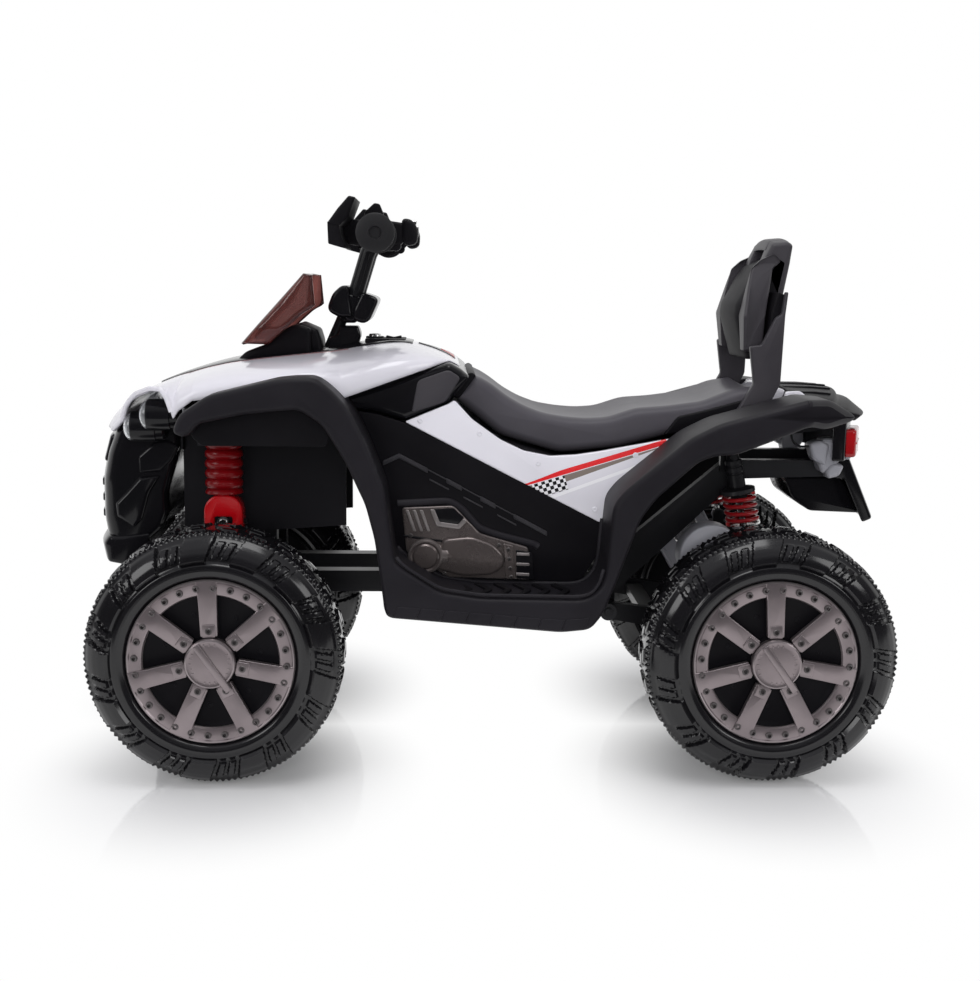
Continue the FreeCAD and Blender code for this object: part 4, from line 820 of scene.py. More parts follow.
@dataclass
class Wheel:
    """One wheel: moulded tyre, dish, spoked cover and hubcap; sizes in millimetres."""

    end: str
    side: Side
    x: float
    half_track: float = 218.5
    axle_height: float = 170.0
    pad_count: int = 13
    tooth_count: int = 132
    spoke_count: int = 7
    ring_bolts: int = 28
    spoke_half_width: float = 12.5
    ring_radii: tuple[float, float] = (87.5, 108.5)
    cap_radius: float = 33.0

    def profile(self) -> Array:
        """The tyre's section from the outboard seat over the crown, rows of (outboard, radius).

        Returns:
            Points about 2 mm apart; the two halves are alike.
        """
        half = np.array(
            [[0, 166.5], [14, 166.4], [23, 165.8], [30, 164.2], [34.5, 161.2], [37.5, 157.5], [43, 153],
             [48, 147], [51.5, 140], [53.5, 132.5], [55, 129.5], [57.2, 127.5], [58.2, 124],
             [58, 118], [55.5, 112.5], [50, 109.5]], float)
        whole = np.vstack([half[::-1], half[1:] * np.array([-1.0, 1.0])])
        inside = np.array([[-46.0, 102.5], [46.0, 102.5]])
        return np.vstack([evenly(whole, 2.1, closed=False), inside])

    def tread(self, out: Array, radius: Array, turn: Array) -> Array:
        """Height of the moulded tread over the base section.

        Smooth pads alternate with sunk cells that hold two bars; a toothed rib runs round each edge
        of the crown, and leaning bars cross it.

        Args:
            out: distance from the wheel's middle plane.
            radius: radius of the base section.
            turn: angle round the axle.

        Returns:
            Height along the section's normal, in millimetres.
        """
        wall = np.abs(out)
        cell = turn * self.pad_count / (2 * math.pi) + 0.006 * (radius - 145.0) * np.sign(out)
        local = ((cell + 0.5) % 1.0) - 0.5
        across = np.abs(local)
        band = between(radius, 131.0, 160.0, 1.2) * (wall > 33.0)
        pad = eased(across, 0.235, 0.252)
        bars = between(across, 0.045, 0.15, 0.016) * between(radius, 134.5, 154.0, 1.0)
        made = band * (6.2 * pad + (1.0 - pad) * bars * 4.4)
        tooth = eased(np.sin(turn * self.tooth_count), -0.25, 0.25)
        rib = between(wall, 26.5, 32.5, 1.0)
        made += rib * (1.4 + 2.4 * tooth)
        skew = turn * 26.0 + wall * 0.09
        bar = eased(np.sin(skew), 0.0, 0.3) * (1.0 - eased(wall, 21.0, 23.0))
        groove = 1.0 - between(wall, 8.5, 11.0, 0.8)
        return made + bar * groove * 3.2

    def tyre(self) -> Shell:
        """Ring surface r(turn, s): the closed section plus the tread's height along its normal."""
        section = self.profile()
        along = np.gradient(section, axis=0)
        along /= np.linalg.norm(along, axis=1, keepdims=True)
        normal = np.stack([along[:, 1], -along[:, 0]], axis=1)
        turn = np.linspace(0.0, 2 * math.pi, 792, endpoint=False)
        height = self.tread(section[:, :1], section[:, 1:], turn[None, :])
        out = section[:, :1] + normal[:, :1] * height
        radius = section[:, 1:] + normal[:, 1:] * height
        points = np.stack(
            [radius * np.cos(turn), -out * np.ones_like(turn), radius * np.sin(turn)], axis=-1)
        return grid(points, ring=True)

    def barrel(self) -> Shell:
        """Sunk dish behind the spokes and the plain inner web, one ring surface through the hub."""
        section = np.array(
            [[-47.0, 107.0], [-46.0, 101.0], [-40.0, 88.0], [-36.0, 82.0], [-36.0, 34.0], [-45.0, 30.0],
             [-45.0, 8.0], [30.0, 8.0], [30.0, 24.0], [-26.0, 28.0], [-28.0, 84.0], [-30.0, 104.0]])
        turn = np.linspace(0.0, 2 * math.pi, 96, endpoint=False)
        return self.spun(section, turn)

    def spun(self, section: Array, turn: Array) -> Shell:
        """A closed section of rows (place, radius) carried round the axle as a ring."""
        points = np.zeros((len(section), len(turn), 3))
        points[..., 0] = section[:, 1, None] * np.cos(turn)
        points[..., 1] = section[:, 0, None]
        points[..., 2] = section[:, 1, None] * np.sin(turn)
        return grid(points, ring=True)

    def dish_holes(self) -> Shell:
        """Small sunk eyelets in the dish, one between each two spokes."""
        angle = (np.arange(self.spoke_count) + 0.42) * 2 * math.pi / self.spoke_count + math.pi / 2
        return screw_heads(self.polar(angle, 62.0, 36.2), 1, -1.0, 3.6, 1.0)

    def polar(self, angle: Array, radius: float, out: float) -> Array:
        """Places on a circle round the axle, rows of x, y, z."""
        rows = [radius * np.cos(angle), np.full(len(angle), -out), radius * np.sin(angle)]
        return np.stack(rows, axis=1)

    def cover_ring(self) -> Shell:
        """Bolted ring of the cover with a raised outer lip."""
        low, high = self.ring_radii
        section = np.array(
            [[-47.0, high], [-52.6, high], [-54.4, high - 1.4], [-54.6, high - 3.2], [-53.4, high - 4.6],
             [-53.2, low + 4.2], [-52.2, low + 1.6], [-50.0, low], [-47.0, low]])
        return self.spun(section, np.linspace(0.0, 2 * math.pi, 128, endpoint=False))

    def spokes(self) -> Shell:
        """Flat spokes that flare into the ring and step down at their roots."""
        half = self.spoke_half_width
        outline = rounded(
            [
                [-half - 1.5, 107], [-half + 0.5, 84], [-half + 1.5, 34], [half - 1.5, 34],
                [half - 0.5, 84], [half + 1.5, 107]],
            2.2, 4)
        root = rounded([[-8.5, 33], [8.5, 33], [8.5, 50], [-8.5, 50]], 2.0, 4)
        one = slab(outline, -55.0, -46.0, (1.1, 0.5))
        one = one + slab(root, -56.6, -50.0, (0.9, 0.5))
        turns = 360.0 / self.spoke_count
        return joined([one.turned(1, -turns * k - 2.0, (0, 0, 0)) for k in range(self.spoke_count)])

    def bolts(self) -> Shell:
        """Moulded bolt heads on the ring and at the spokes' roots, each in a shallow collar."""
        ring = (np.arange(self.ring_bolts) + 0.5) * 2 * math.pi / self.ring_bolts + 0.06
        root = np.arange(self.spoke_count) * 2 * math.pi / self.spoke_count + math.pi / 2 + 0.035
        outer = screw_heads(self.polar(ring, 97.6, 52.8), 1, -1.0, 4.7, 4.4, 14)
        inner = screw_heads(self.polar(root, 41.5, 56.2), 1, -1.0, 4.6, 2.2, 14)
        return outer + inner

    def hubcap(self) -> Shell:
        """Domed cap with a bar across it that passes its edge, and short ticks round its rim."""
        radius = self.cap_radius
        section = [
            [-46, radius - 1.5], [-56, radius - 0.4], [-60, radius], [-62.4, radius - 1.2],
            [-63.2, radius - 3], [-62.6, radius - 4.6], [-62.8, radius - 9], [-63.4, 12],
            [-63.6, 1]]
        cap = lathe(section, (0.0, 0.0, 0.0), 1, 72)
        bar = rounded([[-4.6, -30], [4.6, -30], [4.6, 43], [-4.6, 43]], 2.0, 4)
        cap = cap + slab(bar, -66.0, -58.0, (1.2, 0.2)).turned(1, 145.0, (0, 0, 0))
        mark = rounded([[-0.7, 23.5], [0.7, 23.5], [0.7, 27], [-0.7, 27]], 0.3, 2)
        tick = slab(mark, -63.6, -62.0, (0.3, 0.1))
        clear_of_bar = [k for k in range(24) if k % 12 not in (2, 3)]
        return joined([cap] + [tick.turned(1, 15.0 * k, (0, 0, 0)) for k in clear_of_bar])

    def placed(self, shell: Shell) -> Shell:
        """A left wheel's surface about the axle, put in this wheel's place."""
        made = shell.on(self.side)
        return made.moved(self.x, self.side.value * self.half_track, self.axle_height)

    def build(self) -> None:
        """Builds the wheel's pieces on its own body."""
        tag = f"{self.end}_{self.side.name.lower()}"
        body = f"{tag}_wheel"
        tyre = self.placed(self.tyre())
        dish = self.placed(self.barrel() + self.dish_holes())
        cover = self.placed(self.cover_ring() + self.spokes())
        Piece(f"tyre_{tag}", tyre, Finish.TYRE, body, (f"wheel_{tag}",), sharp=42.0).build()
        Piece(f"wheel_dish_{tag}", dish, Finish.MATTE, body).build()
        Piece(
            f"spoked_cover_{tag}", cover, Finish.BRONZE, body, (f"wheel_cover_{tag}",),
            sharp=30.0).build()
        Piece(f"cover_bolts_{tag}", self.placed(self.bolts()), Finish.DARK_BRONZE, body, sharp=30.0).build()
        Piece(f"hubcap_{tag}", self.placed(self.hubcap()), Finish.BRONZE, body, sharp=30.0).build()


@dataclass
class FenderSurround:
    """One side's band: front flare, leg, footboard and rear flare, with its treads and lower trim."""

    side: Side
    inner: float = 150.0
    outer: float = 250.0
    trim_tiles: int = 8
    corner_x: float = 404.0
    corner_run: float = 88.0

    def top_line(self) -> Array:
        """Upper edge of the band in the side view, front to rear."""
        return np.array(
            [
                [-415, 462], [-406, 486], [-369, 511], [-280, 533], [-255, 535], [-233, 535], [-214, 522],
                [-188, 494], [-169, 455], [-144, 391], [-131, 299], [-122, 290], [-72, 258], [-19, 250],
                [112, 248], [128, 254], [140, 268], [145, 287], [149, 340], [152, 373], [167, 392],
                [250, 461], [288, 480], [396, 510], [404, 512], [440, 509], [474, 491], [488, 483]],
            float)

    def low_line(self) -> Array:
        """Lower edge of the band in the side view, rear to front."""
        return np.array(
            [
                [482, 477], [434, 470], [404, 477], [382, 467], [310, 439], [285, 438], [262, 430],
                [207, 380], [188, 353], [158, 268], [143, 229], [126, 207], [87, 203], [-140, 222],
                [-145, 234], [-146, 245], [-157, 325], [-169, 371], [-195, 427], [-224, 474], [-254, 494],
                [-323, 487], [-383, 474], [-396, 456]],
            float)

    def band(self) -> Shell:
        """The band's outline carried outboard, its rim rolled; behind the corner its width runs out."""
        outline = rounded(np.vstack([self.top_line(), self.low_line()]), 10.0, 6)
        made = slab(evenly(outline, 7.0), -self.outer, -self.inner, (8.0, 1.5), steps=7, depth=(10.0, 1.5))
        points = made.points.copy()
        turn_in = np.clip((points[:, 0] - self.corner_x) / self.corner_run, 0.0, 1.0)
        points[:, 1] += (-self.inner - points[:, 1]) * 0.92 * turn_in
        return made.reshaped(points)

    def treads(self) -> Shell:
        """Chevron ribs across the footboard."""
        start = np.array([[-52.0], [-26.0], [0.0], [26.0], [52.0], [78.0]])
        outline = [[0, -238], [9, -238], [24, -202], [9, -166], [0, -166], [15, -202]]
        one = slab(rounded(outline, 2.0, 3), 246.0, 252.4, (0.4, 1.2), Plane.TOP)
        places = np.hstack([start, np.zeros((6, 1)), 0.0077 * (56.0 - start)])
        return one.repeated(places)

    def trim(self) -> Shell:
        """Row of slanted tiles along the footboard's lower edge."""
        edge = np.linspace(-134.0, 118.0, self.trim_tiles + 1)
        shells = []
        for left, right in zip(edge[:-1], edge[1:]):
            x = np.array([left + 1.0, right - 1.0, right + 5.0, left + 7.0])
            low = np.interp(x, [-140.0, 87.0, 126.0], [225.0, 206.5, 210.0])
            z = np.array([low[0], low[1], low[2] + 15.0, low[3] + 15.0])
            outline = rounded(np.stack([x, z], axis=1), 2.0, 3)
            shells.append(slab(outline, -self.outer - 1.2, -self.outer + 4.0, (1.0, 0.3)))
        return joined(shells)

    def rim(self) -> Shell:
        """Thin bead along the footboard's outer upper edge, up the kick panel and the rear leg."""
        line = [[-129, 303], [-120, 292], [-72, 261.5], [-19, 253.5], [112, 251.5], [126, 256],
                [136, 269], [141, 288]]
        return tube(bend(at_side(line, 6.0 - self.outer), 14.0), 2.4, 10)

    def seam(self) -> Shell:
        """Bead in the corner of footwell and side panel, from the kick panel to the rear leg."""
        path = at_side(self.top_line()[10:19], -self.inner - 1.0)
        return tube(bend(path, 14.0), 3.5, 10)

    def liner(self) -> Shell:
        """Dark sheet under the front flare, over the shock's top: painted shade that fills the shadow
        there.
        """
        outline = [
            [-398, 456], [-384, 442], [-222, 442], [-214, 462], [-236, 506], [-300, 502], [-380, 484]]
        return slab(rounded(outline, 6.0), -206.0, -202.0, (1.0, 1.0))

    def build(self) -> None:
        """Builds the band and its details on the chassis."""
        tag = self.side.name.lower()
        parts = {
            "band": (self.band(), Finish.FENDER),
            "treads": (self.treads(), Finish.MATTE),
            "seam": (self.seam(), Finish.FENDER),
            "trim": (self.trim(), Finish.FENDER),
            "rim": (self.rim(), Finish.FENDER),
            # Dark sheet under the front flare: painted shade.
            "liner": (self.liner(), Finish.MATTE),
        }
        for name, (shell, finish) in parts.items():
            placed = shell.on(self.side)
            stands_for = (f"fender_surround_{tag}",) if name == "band" else ()
            Piece(f"fender_{name}_{tag}", placed, finish, "chassis", stands_for).build()


@dataclass
class Hood:
    """White hood and tank skin, its black centre panel, instrument hump, switch plate and screen."""

    crown: float = 0.55
    wall: float = 3.5
    button_place: Point = (-167.0, 0.0, 0.0)

    def stations(self) -> Array:
        """Rows of x, top height, half width."""
        return np.array(
            [
                [-545, 450, 84], [-541, 458, 92], [-530, 472, 108], [-490, 500, 150], [-420, 529, 194],
                [-360, 545, 204], [-232, 561, 196], [-131, 573, 166], [-90, 565, 146], [-61, 554, 124],
                [-47, 545, 108]],
            float)

    def edge_line(self) -> Array:
        """Rows of x and the height of the skin's lower edge, with the notch over the headlights."""
        return np.array(
            [
                [-545, 447], [-541, 450], [-530, 456], [-511, 466], [-496, 485], [-476, 503], [-455, 511],
                [-438, 511], [-430, 499], [-425, 485], [-422, 476], [-415, 486], [-396, 500], [-360, 504],
                [-300, 512], [-255, 518], [-225, 512], [-204, 503], [-131, 528], [-61, 551], [-47, 544]],
            float)

    def section(self, x: Array) -> tuple[Array, Array, Array]:
        """Top height, half width and edge height at places along the bike."""
        top_and_width = curve_through(self.stations(), x)
        edge = np.interp(x, *self.edge_line().T)
        return top_and_width[:, 0], top_and_width[:, 1], np.minimum(edge, top_and_width[:, 0] - 2.0)

    def height(self, x: Array, y: Array) -> Array:
        """Height of the skin at (x, y): edge + rise (1 - (y/w)^2)^(crown/2)."""
        top, half, edge = self.section(x)
        part = np.clip(1.0 - (y / half[:, None]) ** 2, 0.0, 1.0)
        return edge[:, None] + (top - edge)[:, None] * part ** (self.crown / 2)

    def swept(self, x: Array, y: Array) -> Array:
        """Places along the bike, the tip's sides swept back: x + 20 (y/84)^2, fading out behind it."""
        fade = 1.0 - eased(x, -545.0, -480.0)
        return x[:, None] + 20.0 * np.minimum(np.abs(y) / 84.0, 1.0) ** 2 * fade[:, None]

    def rim(self) -> Shell:
        """Left rolled rim along the skin's lower edge, from the tip to the spike over the wheel."""
        x = np.linspace(-544.0, -424.0, 60)
        _, half, edge = self.section(x)
        y = -half[:, None]
        path = np.stack([self.swept(x, y)[:, 0], -half + 1.0, edge + 2.6], axis=1)
        return tube(path, 3.4, 12, (0, 0, 1))

    def panel_half(self, x: Array) -> Array:
        """Half width of the black centre panel."""
        return np.interp(x, [-470.0, -440.0, -380.0, -230.0, -112.0], [16.0, 42.0, 74.0, 74.0, 46.0])

    def skin(self) -> Shell:
        """Skin on a grid of place and arch angle, with the distance from the panel's edge as a mark."""
        x = np.unique(np.concatenate([np.linspace(-545, -47, 190), np.linspace(-432, -396, 40)]))
        angle = np.linspace(math.pi / 2, -math.pi / 2, 97)
        _, half, _ = self.section(x)
        y = half[:, None] * np.sin(angle)[None]
        z = self.height(x, y)
        shell = grid(np.stack([self.swept(x, y), y, z], axis=-1), wrap=False)
        shell.marks["stripe"] = (np.abs(y) - self.panel_half(x)[:, None]).reshape(-1)
        return shell

    def stripe_material(self) -> Any:
        """White gloss with a red line along the black panel, drawn from the stripe mark."""
        paint = Finish.WHITE.value[1].paint("white_with_red_line")
        base = paint.shader.inputs["Base Color"].links[0].from_socket
        mark = paint.mark("stripe")
        ahead = paint.axis("X") < -0.20
        line = (mark > 3.0) * (mark < 8.5) * ahead
        paint.set(Base_Color=paint.mix(line, base, (0.62, 0.012, 0.02)))
        return paint.material

    def draped(self, x: Array, half: Array, raise_by: float, columns: int = 41) -> Shell:
        """A panel lying on the skin, crowned towards its middle.

        Args:
            x: places along the bike.
            half: half width at each place.
            raise_by: height over the skin.
            columns: points across.

        Returns:
            The open surface, facing up.
        """
        v = np.linspace(1.0, -1.0, columns)
        y = half[:, None] * v[None]
        z = self.height(x, y) + raise_by * (1.0 - v[None] ** 8)
        return grid(np.stack([np.broadcast_to(x[:, None], y.shape), y, z], axis=-1), wrap=False)

    def centre_panel(self) -> Shell:
        """Black panel along the middle of the hood."""
        x = np.linspace(-470.0, -112.0, 90)
        return self.draped(x, self.panel_half(x), 2.6)

    def tail_inlay(self, low: float, high: float, half: float) -> Shell:
        """Pointed inlay on the tank's tail."""
        x = np.linspace(low, high, 24)
        share = (x - low) / (high - low)
        return self.draped(x, half * (0.15 + 0.85 * share), 1.6, 17)

    def hump(self) -> Shell:
        """Instrument hump behind the screen: a rounded block and a sloping cowl."""
        block = rounded(
            [[-362, 540], [-345, 557], [-318, 567], [-286, 592], [-274, 596], [-254, 590], [-254, 552]],
            6.0)
        cowl = rounded([[-300, 556], [-284, 589], [-270, 598], [-246, 588], [-241, 572], [-240, 556]], 4.0)
        return slab(block, -58.0, 58.0, (6.0, 6.0)) + slab(cowl, -40.0, 40.0, (6.0, 6.0))

    def switch_plate(self) -> Shell:
        """Raised plate for the start button and the direction switch, with frames round both."""
        plate = rounded([[-180, -36], [-122, -36], [-122, 36], [-180, 36]], 7.0)
        made = slab(plate, 556.0, 576.0, (0.5, 2.0), Plane.TOP)
        ring = lathe(
            [[556, 13], [577.4, 13], [578.2, 12.2], [578.2, 9.9], [575, 9.6], [556, 9.6]],
            self.button_place, 2, 32)
        return made + Shell(ring.points, ring.quads, [])

    def screen(self) -> Shell:
        """Screen as a U-shaped pane: front line swept round two rounded corners into side wings.

        Returns:
            Surface over height t and place v along the U, facing outwards.
        """
        t = np.linspace(0.0, 1.0, 28)
        front = np.stack([np.interp(t, [0, 1], [-350, -263]), np.interp(t, [0, 1], [569, 666])], axis=1)
        rear = np.stack([np.interp(t, [0, 0.5, 0.58, 1], [-311, -261, -246, -250]),
                         np.interp(t, [0, 0.5, 0.58, 1], [568, 613, 621, 664])], axis=1)
        u = np.array([0.0, 0.25, 0.5, 0.72, 0.86, 0.94, 1.0])
        wing_y = np.array([82.0, 82.0, 82.0, 81.5, 79.0, 74.0, 66.0])
        back_share = np.array([1.0, 0.74, 0.46, 0.24, 0.10, 0.03, 0.0])
        middle = np.linspace(0.8, -0.8, 15) * 66.0
        y = np.concatenate([wing_y, middle, -wing_y[::-1]])
        share = np.concatenate([back_share, np.zeros(15), back_share[::-1]])
        xz = front[:, None] + (rear - front)[:, None] * share[None, :, None]
        taper = np.interp(t, [0.0, 0.25, 1.0], [0.9, 1.0, 0.97])
        points = np.stack([xz[..., 0], y[None] * taper[:, None], xz[..., 1]], axis=-1)
        return grid(points, wrap=False)

    def build(self) -> None:
        """Builds the hood's pieces on the chassis and the two switches on their bodies."""
        Piece(
            "hood_skin", self.skin(), Finish.WHITE, "chassis", ("hood",), self.wall, sharp=30.0,
            material=self.stripe_material()).build()
        Piece("hood_rim", self.rim().both(), Finish.WHITE).build()
        Piece("hood_panel", self.centre_panel(), Finish.GLOSS, "chassis", ("dash_panel",), 3.0).build()
        Piece("tank_inlay", self.tail_inlay(-104.0, -52.0, 34.0), Finish.GLOSS, "chassis", (), 2.0).build()
        Piece(
            "tank_inlay_tip", self.tail_inlay(-72.0, -53.0, 30.0).moved(z=0.9), Finish.RED, "chassis", (),
            2.0).build()
        Piece("instrument_hump", self.hump(), Finish.MATTE).build()
        Piece("switch_plate", self.switch_plate(), Finish.MATTE).build()
        Piece("screen", self.screen(), Finish.ROSE, "chassis", ("windscreen",), 3.0, sharp=60.0).build()
        button = lathe(
            [[563, 8.9], [580, 8.9], [581.6, 8], [582, 5.5], [581.4, 4.6], [581.4, 0.5]],
            self.button_place, 2, 28)
        Piece("start_knob", button, Finish.STEEL, "start", ("start_button",)).build()
        rocker = rounded([[-151, 568], [-129, 568], [-129, 579.6], [-140, 577.2], [-151, 579.6]], 1.6, 4)
        Piece(
            "direction_rocker", slab(rocker, -7.0, 7.0, (0.8, 0.8)), Finish.MATTE, "direction",
            ("direction_switch",)).build()


@dataclass
class Flanks:
    """Both sides between the axles: dark side panels, white covers with stripes and engine covers."""

    face: float = 150.0

    def side_panel(self) -> Shell:
        """Left dark panel with a rolled rim."""
        outline = [
            [-137, 260], [120, 250], [150, 300], [158, 334], [146, 336], [-121, 469], [-160, 481],
            [-199, 486], [-199, 455], [-186, 430], [-163, 380], [-147, 325]]
        return slab(rounded(outline, 6.0), -self.face - 0.8, -144.0, (2.0, 0.5))

    def ledge(self) -> Shell:
        """Raised ledge along the panel with three breaks, a thin bar in each and another below it."""
        line = np.array([[-150, 414], [-128, 424], [-32, 374], [74, 318]], float)
        run = np.concatenate([[0.0], np.cumsum(np.linalg.norm(np.diff(line, axis=0), axis=1))])
        stops = np.array([[0.0, 68.0], [96.0, 120.0], [148.0, 172.0], [200.0, 252.0]])
        shells = []
        for start, end in stops:
            inner = run[(run > start) & (run < end)]
            at = np.concatenate([[start], inner, [end]])
            points = np.stack([np.interp(at, run, line[:, k]) for k in (0, 1)], axis=1)
            strip = np.vstack([points + [0.0, 3.4], points[::-1] - [0.0, 3.4]])
            shells.append(slab(rounded(strip, 1.6, 3), -self.face - 3.4, -self.face + 2.0, (1.6, 0.2)))
        for start, end in zip(stops[:-1, 1], stops[1:, 0]):
            at = np.array([start - 1.0, end + 1.0])
            points = np.stack([np.interp(at, run, line[:, k]) for k in (0, 1)], axis=1)
            for drop, half in ((1.6, 0.8), (-12.0, 1.0)):
                bar = points + [0.0 if drop > 0 else 3.0, drop]
                strip = np.vstack([bar + [0.0, half], bar[::-1] - [0.0, half]])
                shells.append(slab(rounded(strip, 0.5, 2), -self.face - 2.6, -self.face + 2.0, (0.6, 0.2)))
        return joined(shells)

    def white_cover(self) -> Shell:
        """Left white cover: flat panel with a rolled rim."""
        outline = [
            [-121, 470], [-61, 495], [-54, 500], [-30, 474], [8, 447], [40, 432], [76, 425], [112, 427],
            [144, 432], [235, 449], [264, 454], [154, 332], [145, 334]]
        return slab(rounded(outline, 4.0), -self.face - 2.0, -144.0, (2.5, 0.5))

    def cover_screws(self) -> Shell:
        """Left low white screw caps on the cover."""
        places = np.array(
            [[-100, 0, 472], [-20, 0, 455], [60, 0, 415], [138, 0, 352], [192, 0, 427]], float)
        places[:, 1] = -self.face - 2.0
        return screw_heads(places, 1, -1.0, 4.0, 0.9)

    def cover_material(self) -> Any:
        """White gloss with a red stripe, a taupe wedge under it, a chequer patch and a painted highlight as
        a pale line along a crease.

        Coordinates: along the stripe s and across it t, from the side view turned by its slope.

        Returns:
            The material.
        """
        paint = Finish.WHITE.value[1].paint("white_with_stripes")
        base = paint.shader.inputs["Base Color"].links[0].from_socket
        slope = math.radians(17.0)
        x = paint.axis("X") * 1000.0 - 40.0
        z = paint.axis("Z") * 1000.0 - 383.0
        along = x * math.cos(slope) + z * math.sin(slope)
        across = z * math.cos(slope) - x * math.sin(slope)
        span = (along > 2.0) * (along < 204.0)
        wide = (along / 190.0).ramp(0.0, 0.35) * 4.0 + 3.0
        red = span * (across > 0.0) * (across < wide)
        taupe = span * (across < -1.0) * (across > 11.0 * (along / 190.0) - 13.5)
        square = 5.0
        odd = ((along / (2 * square)) % 1.0 - 0.5) * ((across / (2 * square)) % 1.0 - 0.5) > 0.0
        patch = (along > 12.0) * (along < 58.0) * (across < -1.0) * (across > -21.0)
        # Pale line along the crease: a painted highlight where the raised crease would catch the light.
        crease = (along > 30.0) * (abs(across + 27.0 - along * 0.06) < 2.2) * (along < 185.0)
        made = paint.mix(crease * 0.6, base, (0.9, 0.9, 0.92))
        made = paint.mix(taupe, made, (0.20, 0.165, 0.145))
        made = paint.mix(patch, made, (0.78, 0.77, 0.8))
        made = paint.mix(patch * odd, made, (0.012, 0.012, 0.014))
        made = paint.mix(red, made, (0.68, 0.016, 0.02))
        paint.set(Base_Color=made)
        return paint.material

    def engine_body(self) -> Shell:
        """Left engine cover: base plate, lower case, cylinder, drum with a collar and a rear flange."""
        face = -self.face
        plate = [[-124, 354], [-54, 357], [-18, 319], [48, 300], [52, 255], [-60, 258], [-118, 293]]
        case = [[-70, 312], [-30, 316], [0, 306], [16, 290], [16, 274], [0, 262], [-40, 260], [-78, 270]]
        flange = [[14, 306], [27, 303], [31, 257], [18, 257]]
        drum = [
            [0.5, 24], [-12, 24], [-14, 22.6], [-14.6, 20], [-13.4, 17.6], [-15.6, 15],
            [-16, 2]]
        shells = [
            slab(rounded(plate, 5.0), face - 6.0, face + 1.0, (2.4, 0.2)),
            slab(rounded(case, 9.0), face - 12.0, face - 2.0, (5.0, 0.2), depth=(7.0, 0.2), steps=6),
            slab(rounded(flange, 2.0), face - 10.5, face - 2.0, (1.4, 0.2)),
            lathe(drum, (-92.0, face, 288.0), 1, 56),
        ]
        barrel = [[-92, 19], [-62, 19], [-60, 17.5], [-44, 16], [-41, 14], [-38, 1]]
        shells.append(lathe(barrel, (0.0, face + 5.0, 288.0), 0, 40))
        return joined(shells)

    def engine_trim(self) -> Shell:
        """Left pale trim: slanted fins, frame under the dark window and rear bars."""
        face = -self.face
        shells = []
        for x in (-119.0, -109.5, -100.0):
            fin = [[x, 351], [x + 4.2, 351], [x + 14.5, 322], [x + 10.3, 322]]
            shells.append(slab(rounded(fin, 1.0, 3), face - 9.0, face - 4.0, (0.9, 0.2)))
        frame_outer = [
            [-86, 352], [-77, 329], [-46, 325], [-36, 336], [-40, 340], [-48, 331.5], [-73, 335],
            [-80, 352]]
        shells.append(slab(rounded(frame_outer, 1.4, 3), face - 9.0, face - 4.0, (1.0, 0.2)))
        for z in (291.0, 277.0, 263.0):
            bar = [[32, z - 2], [50, z - 2.6], [50, z + 1.6], [32, z + 2.2]]
            shells.append(slab(rounded(bar, 1.0, 3), face - 8.6, face - 4.0, (0.9, 0.2)))
        return joined(shells)

    def engine_dark(self) -> Shell:
        """Left dark parts: window behind the frame, slots between the rear bars and a seam."""
        face = -self.face
        window = [[-82, 352], [-74, 334], [-48, 331], [-40, 341], [-54, 354]]
        slot = [[31, 297], [54, 293], [56, 256], [33, 257]]
        seam = [[-122, 317], [-64, 309], [-36, 300], [-37, 297.5], [-64, 306], [-122, 313.5]]
        outlines = [rounded(line, 1.5, 3) for line in (window, slot, seam)]
        return joined([slab(line, face - 7.0, face - 4.0, (0.6, 0.2)) for line in outlines])

    def engine_rail(self) -> Shell:
        """Left dark moulding that frames the engine cover from above."""
        line = [[-130, 359], [-60, 363], [-42, 352], [-20, 326], [4, 317], [56, 304], [62, 300]]
        return tube(bend(at_side(line, -self.face), 9.0), 5.2, 12)

    def engine_bolts(self) -> Shell:
        """Left bolt heads along the rear flange and the plate."""
        places = np.array(
            [
                [8, 0, 303], [20.5, 0, 298], [22, 0, 285], [23.5, 0, 272], [25, 0, 260], [-66, 0, 264],
                [-112, 0, 316]],
            float)
        places[:, 1] = -self.face - np.array([6.0, 10.4, 10.4, 10.4, 10.4, 6.0, 6.0])
        return screw_heads(places, 1, -1.0, 3.0, 1.8)

    def build(self) -> None:
        """Builds both flanks on the chassis."""
        rows = {
            "side_panels": (self.side_panel(), Finish.MATTE, (), None),
            # The ledges take the lighter finish: a painted highlight on their bevels.
            "panel_ledges": (self.ledge(), Finish.LEDGE, (), None),
            "white_covers": (self.white_cover(), Finish.WHITE, ("side_covers",), self.cover_material()),
            "cover_screws": (self.cover_screws(), Finish.WHITE, ("body_screws",), None),
            "engine_cases": (self.engine_body(), Finish.ENGINE, ("engine_covers",), None),
            "engine_trims": (self.engine_trim(), Finish.PALE_BRONZE, (), None),
            "engine_windows": (self.engine_dark(), Finish.GLOSS, (), None),
            "engine_rails": (self.engine_rail(), Finish.FENDER, (), None),
            "engine_bolts": (self.engine_bolts(), Finish.DARK_BRONZE, (), None),
        }
        for name, (shell, finish, stands_for, material) in rows.items():
            Piece(name, shell.both(), finish, "chassis", stands_for, material=material).build()


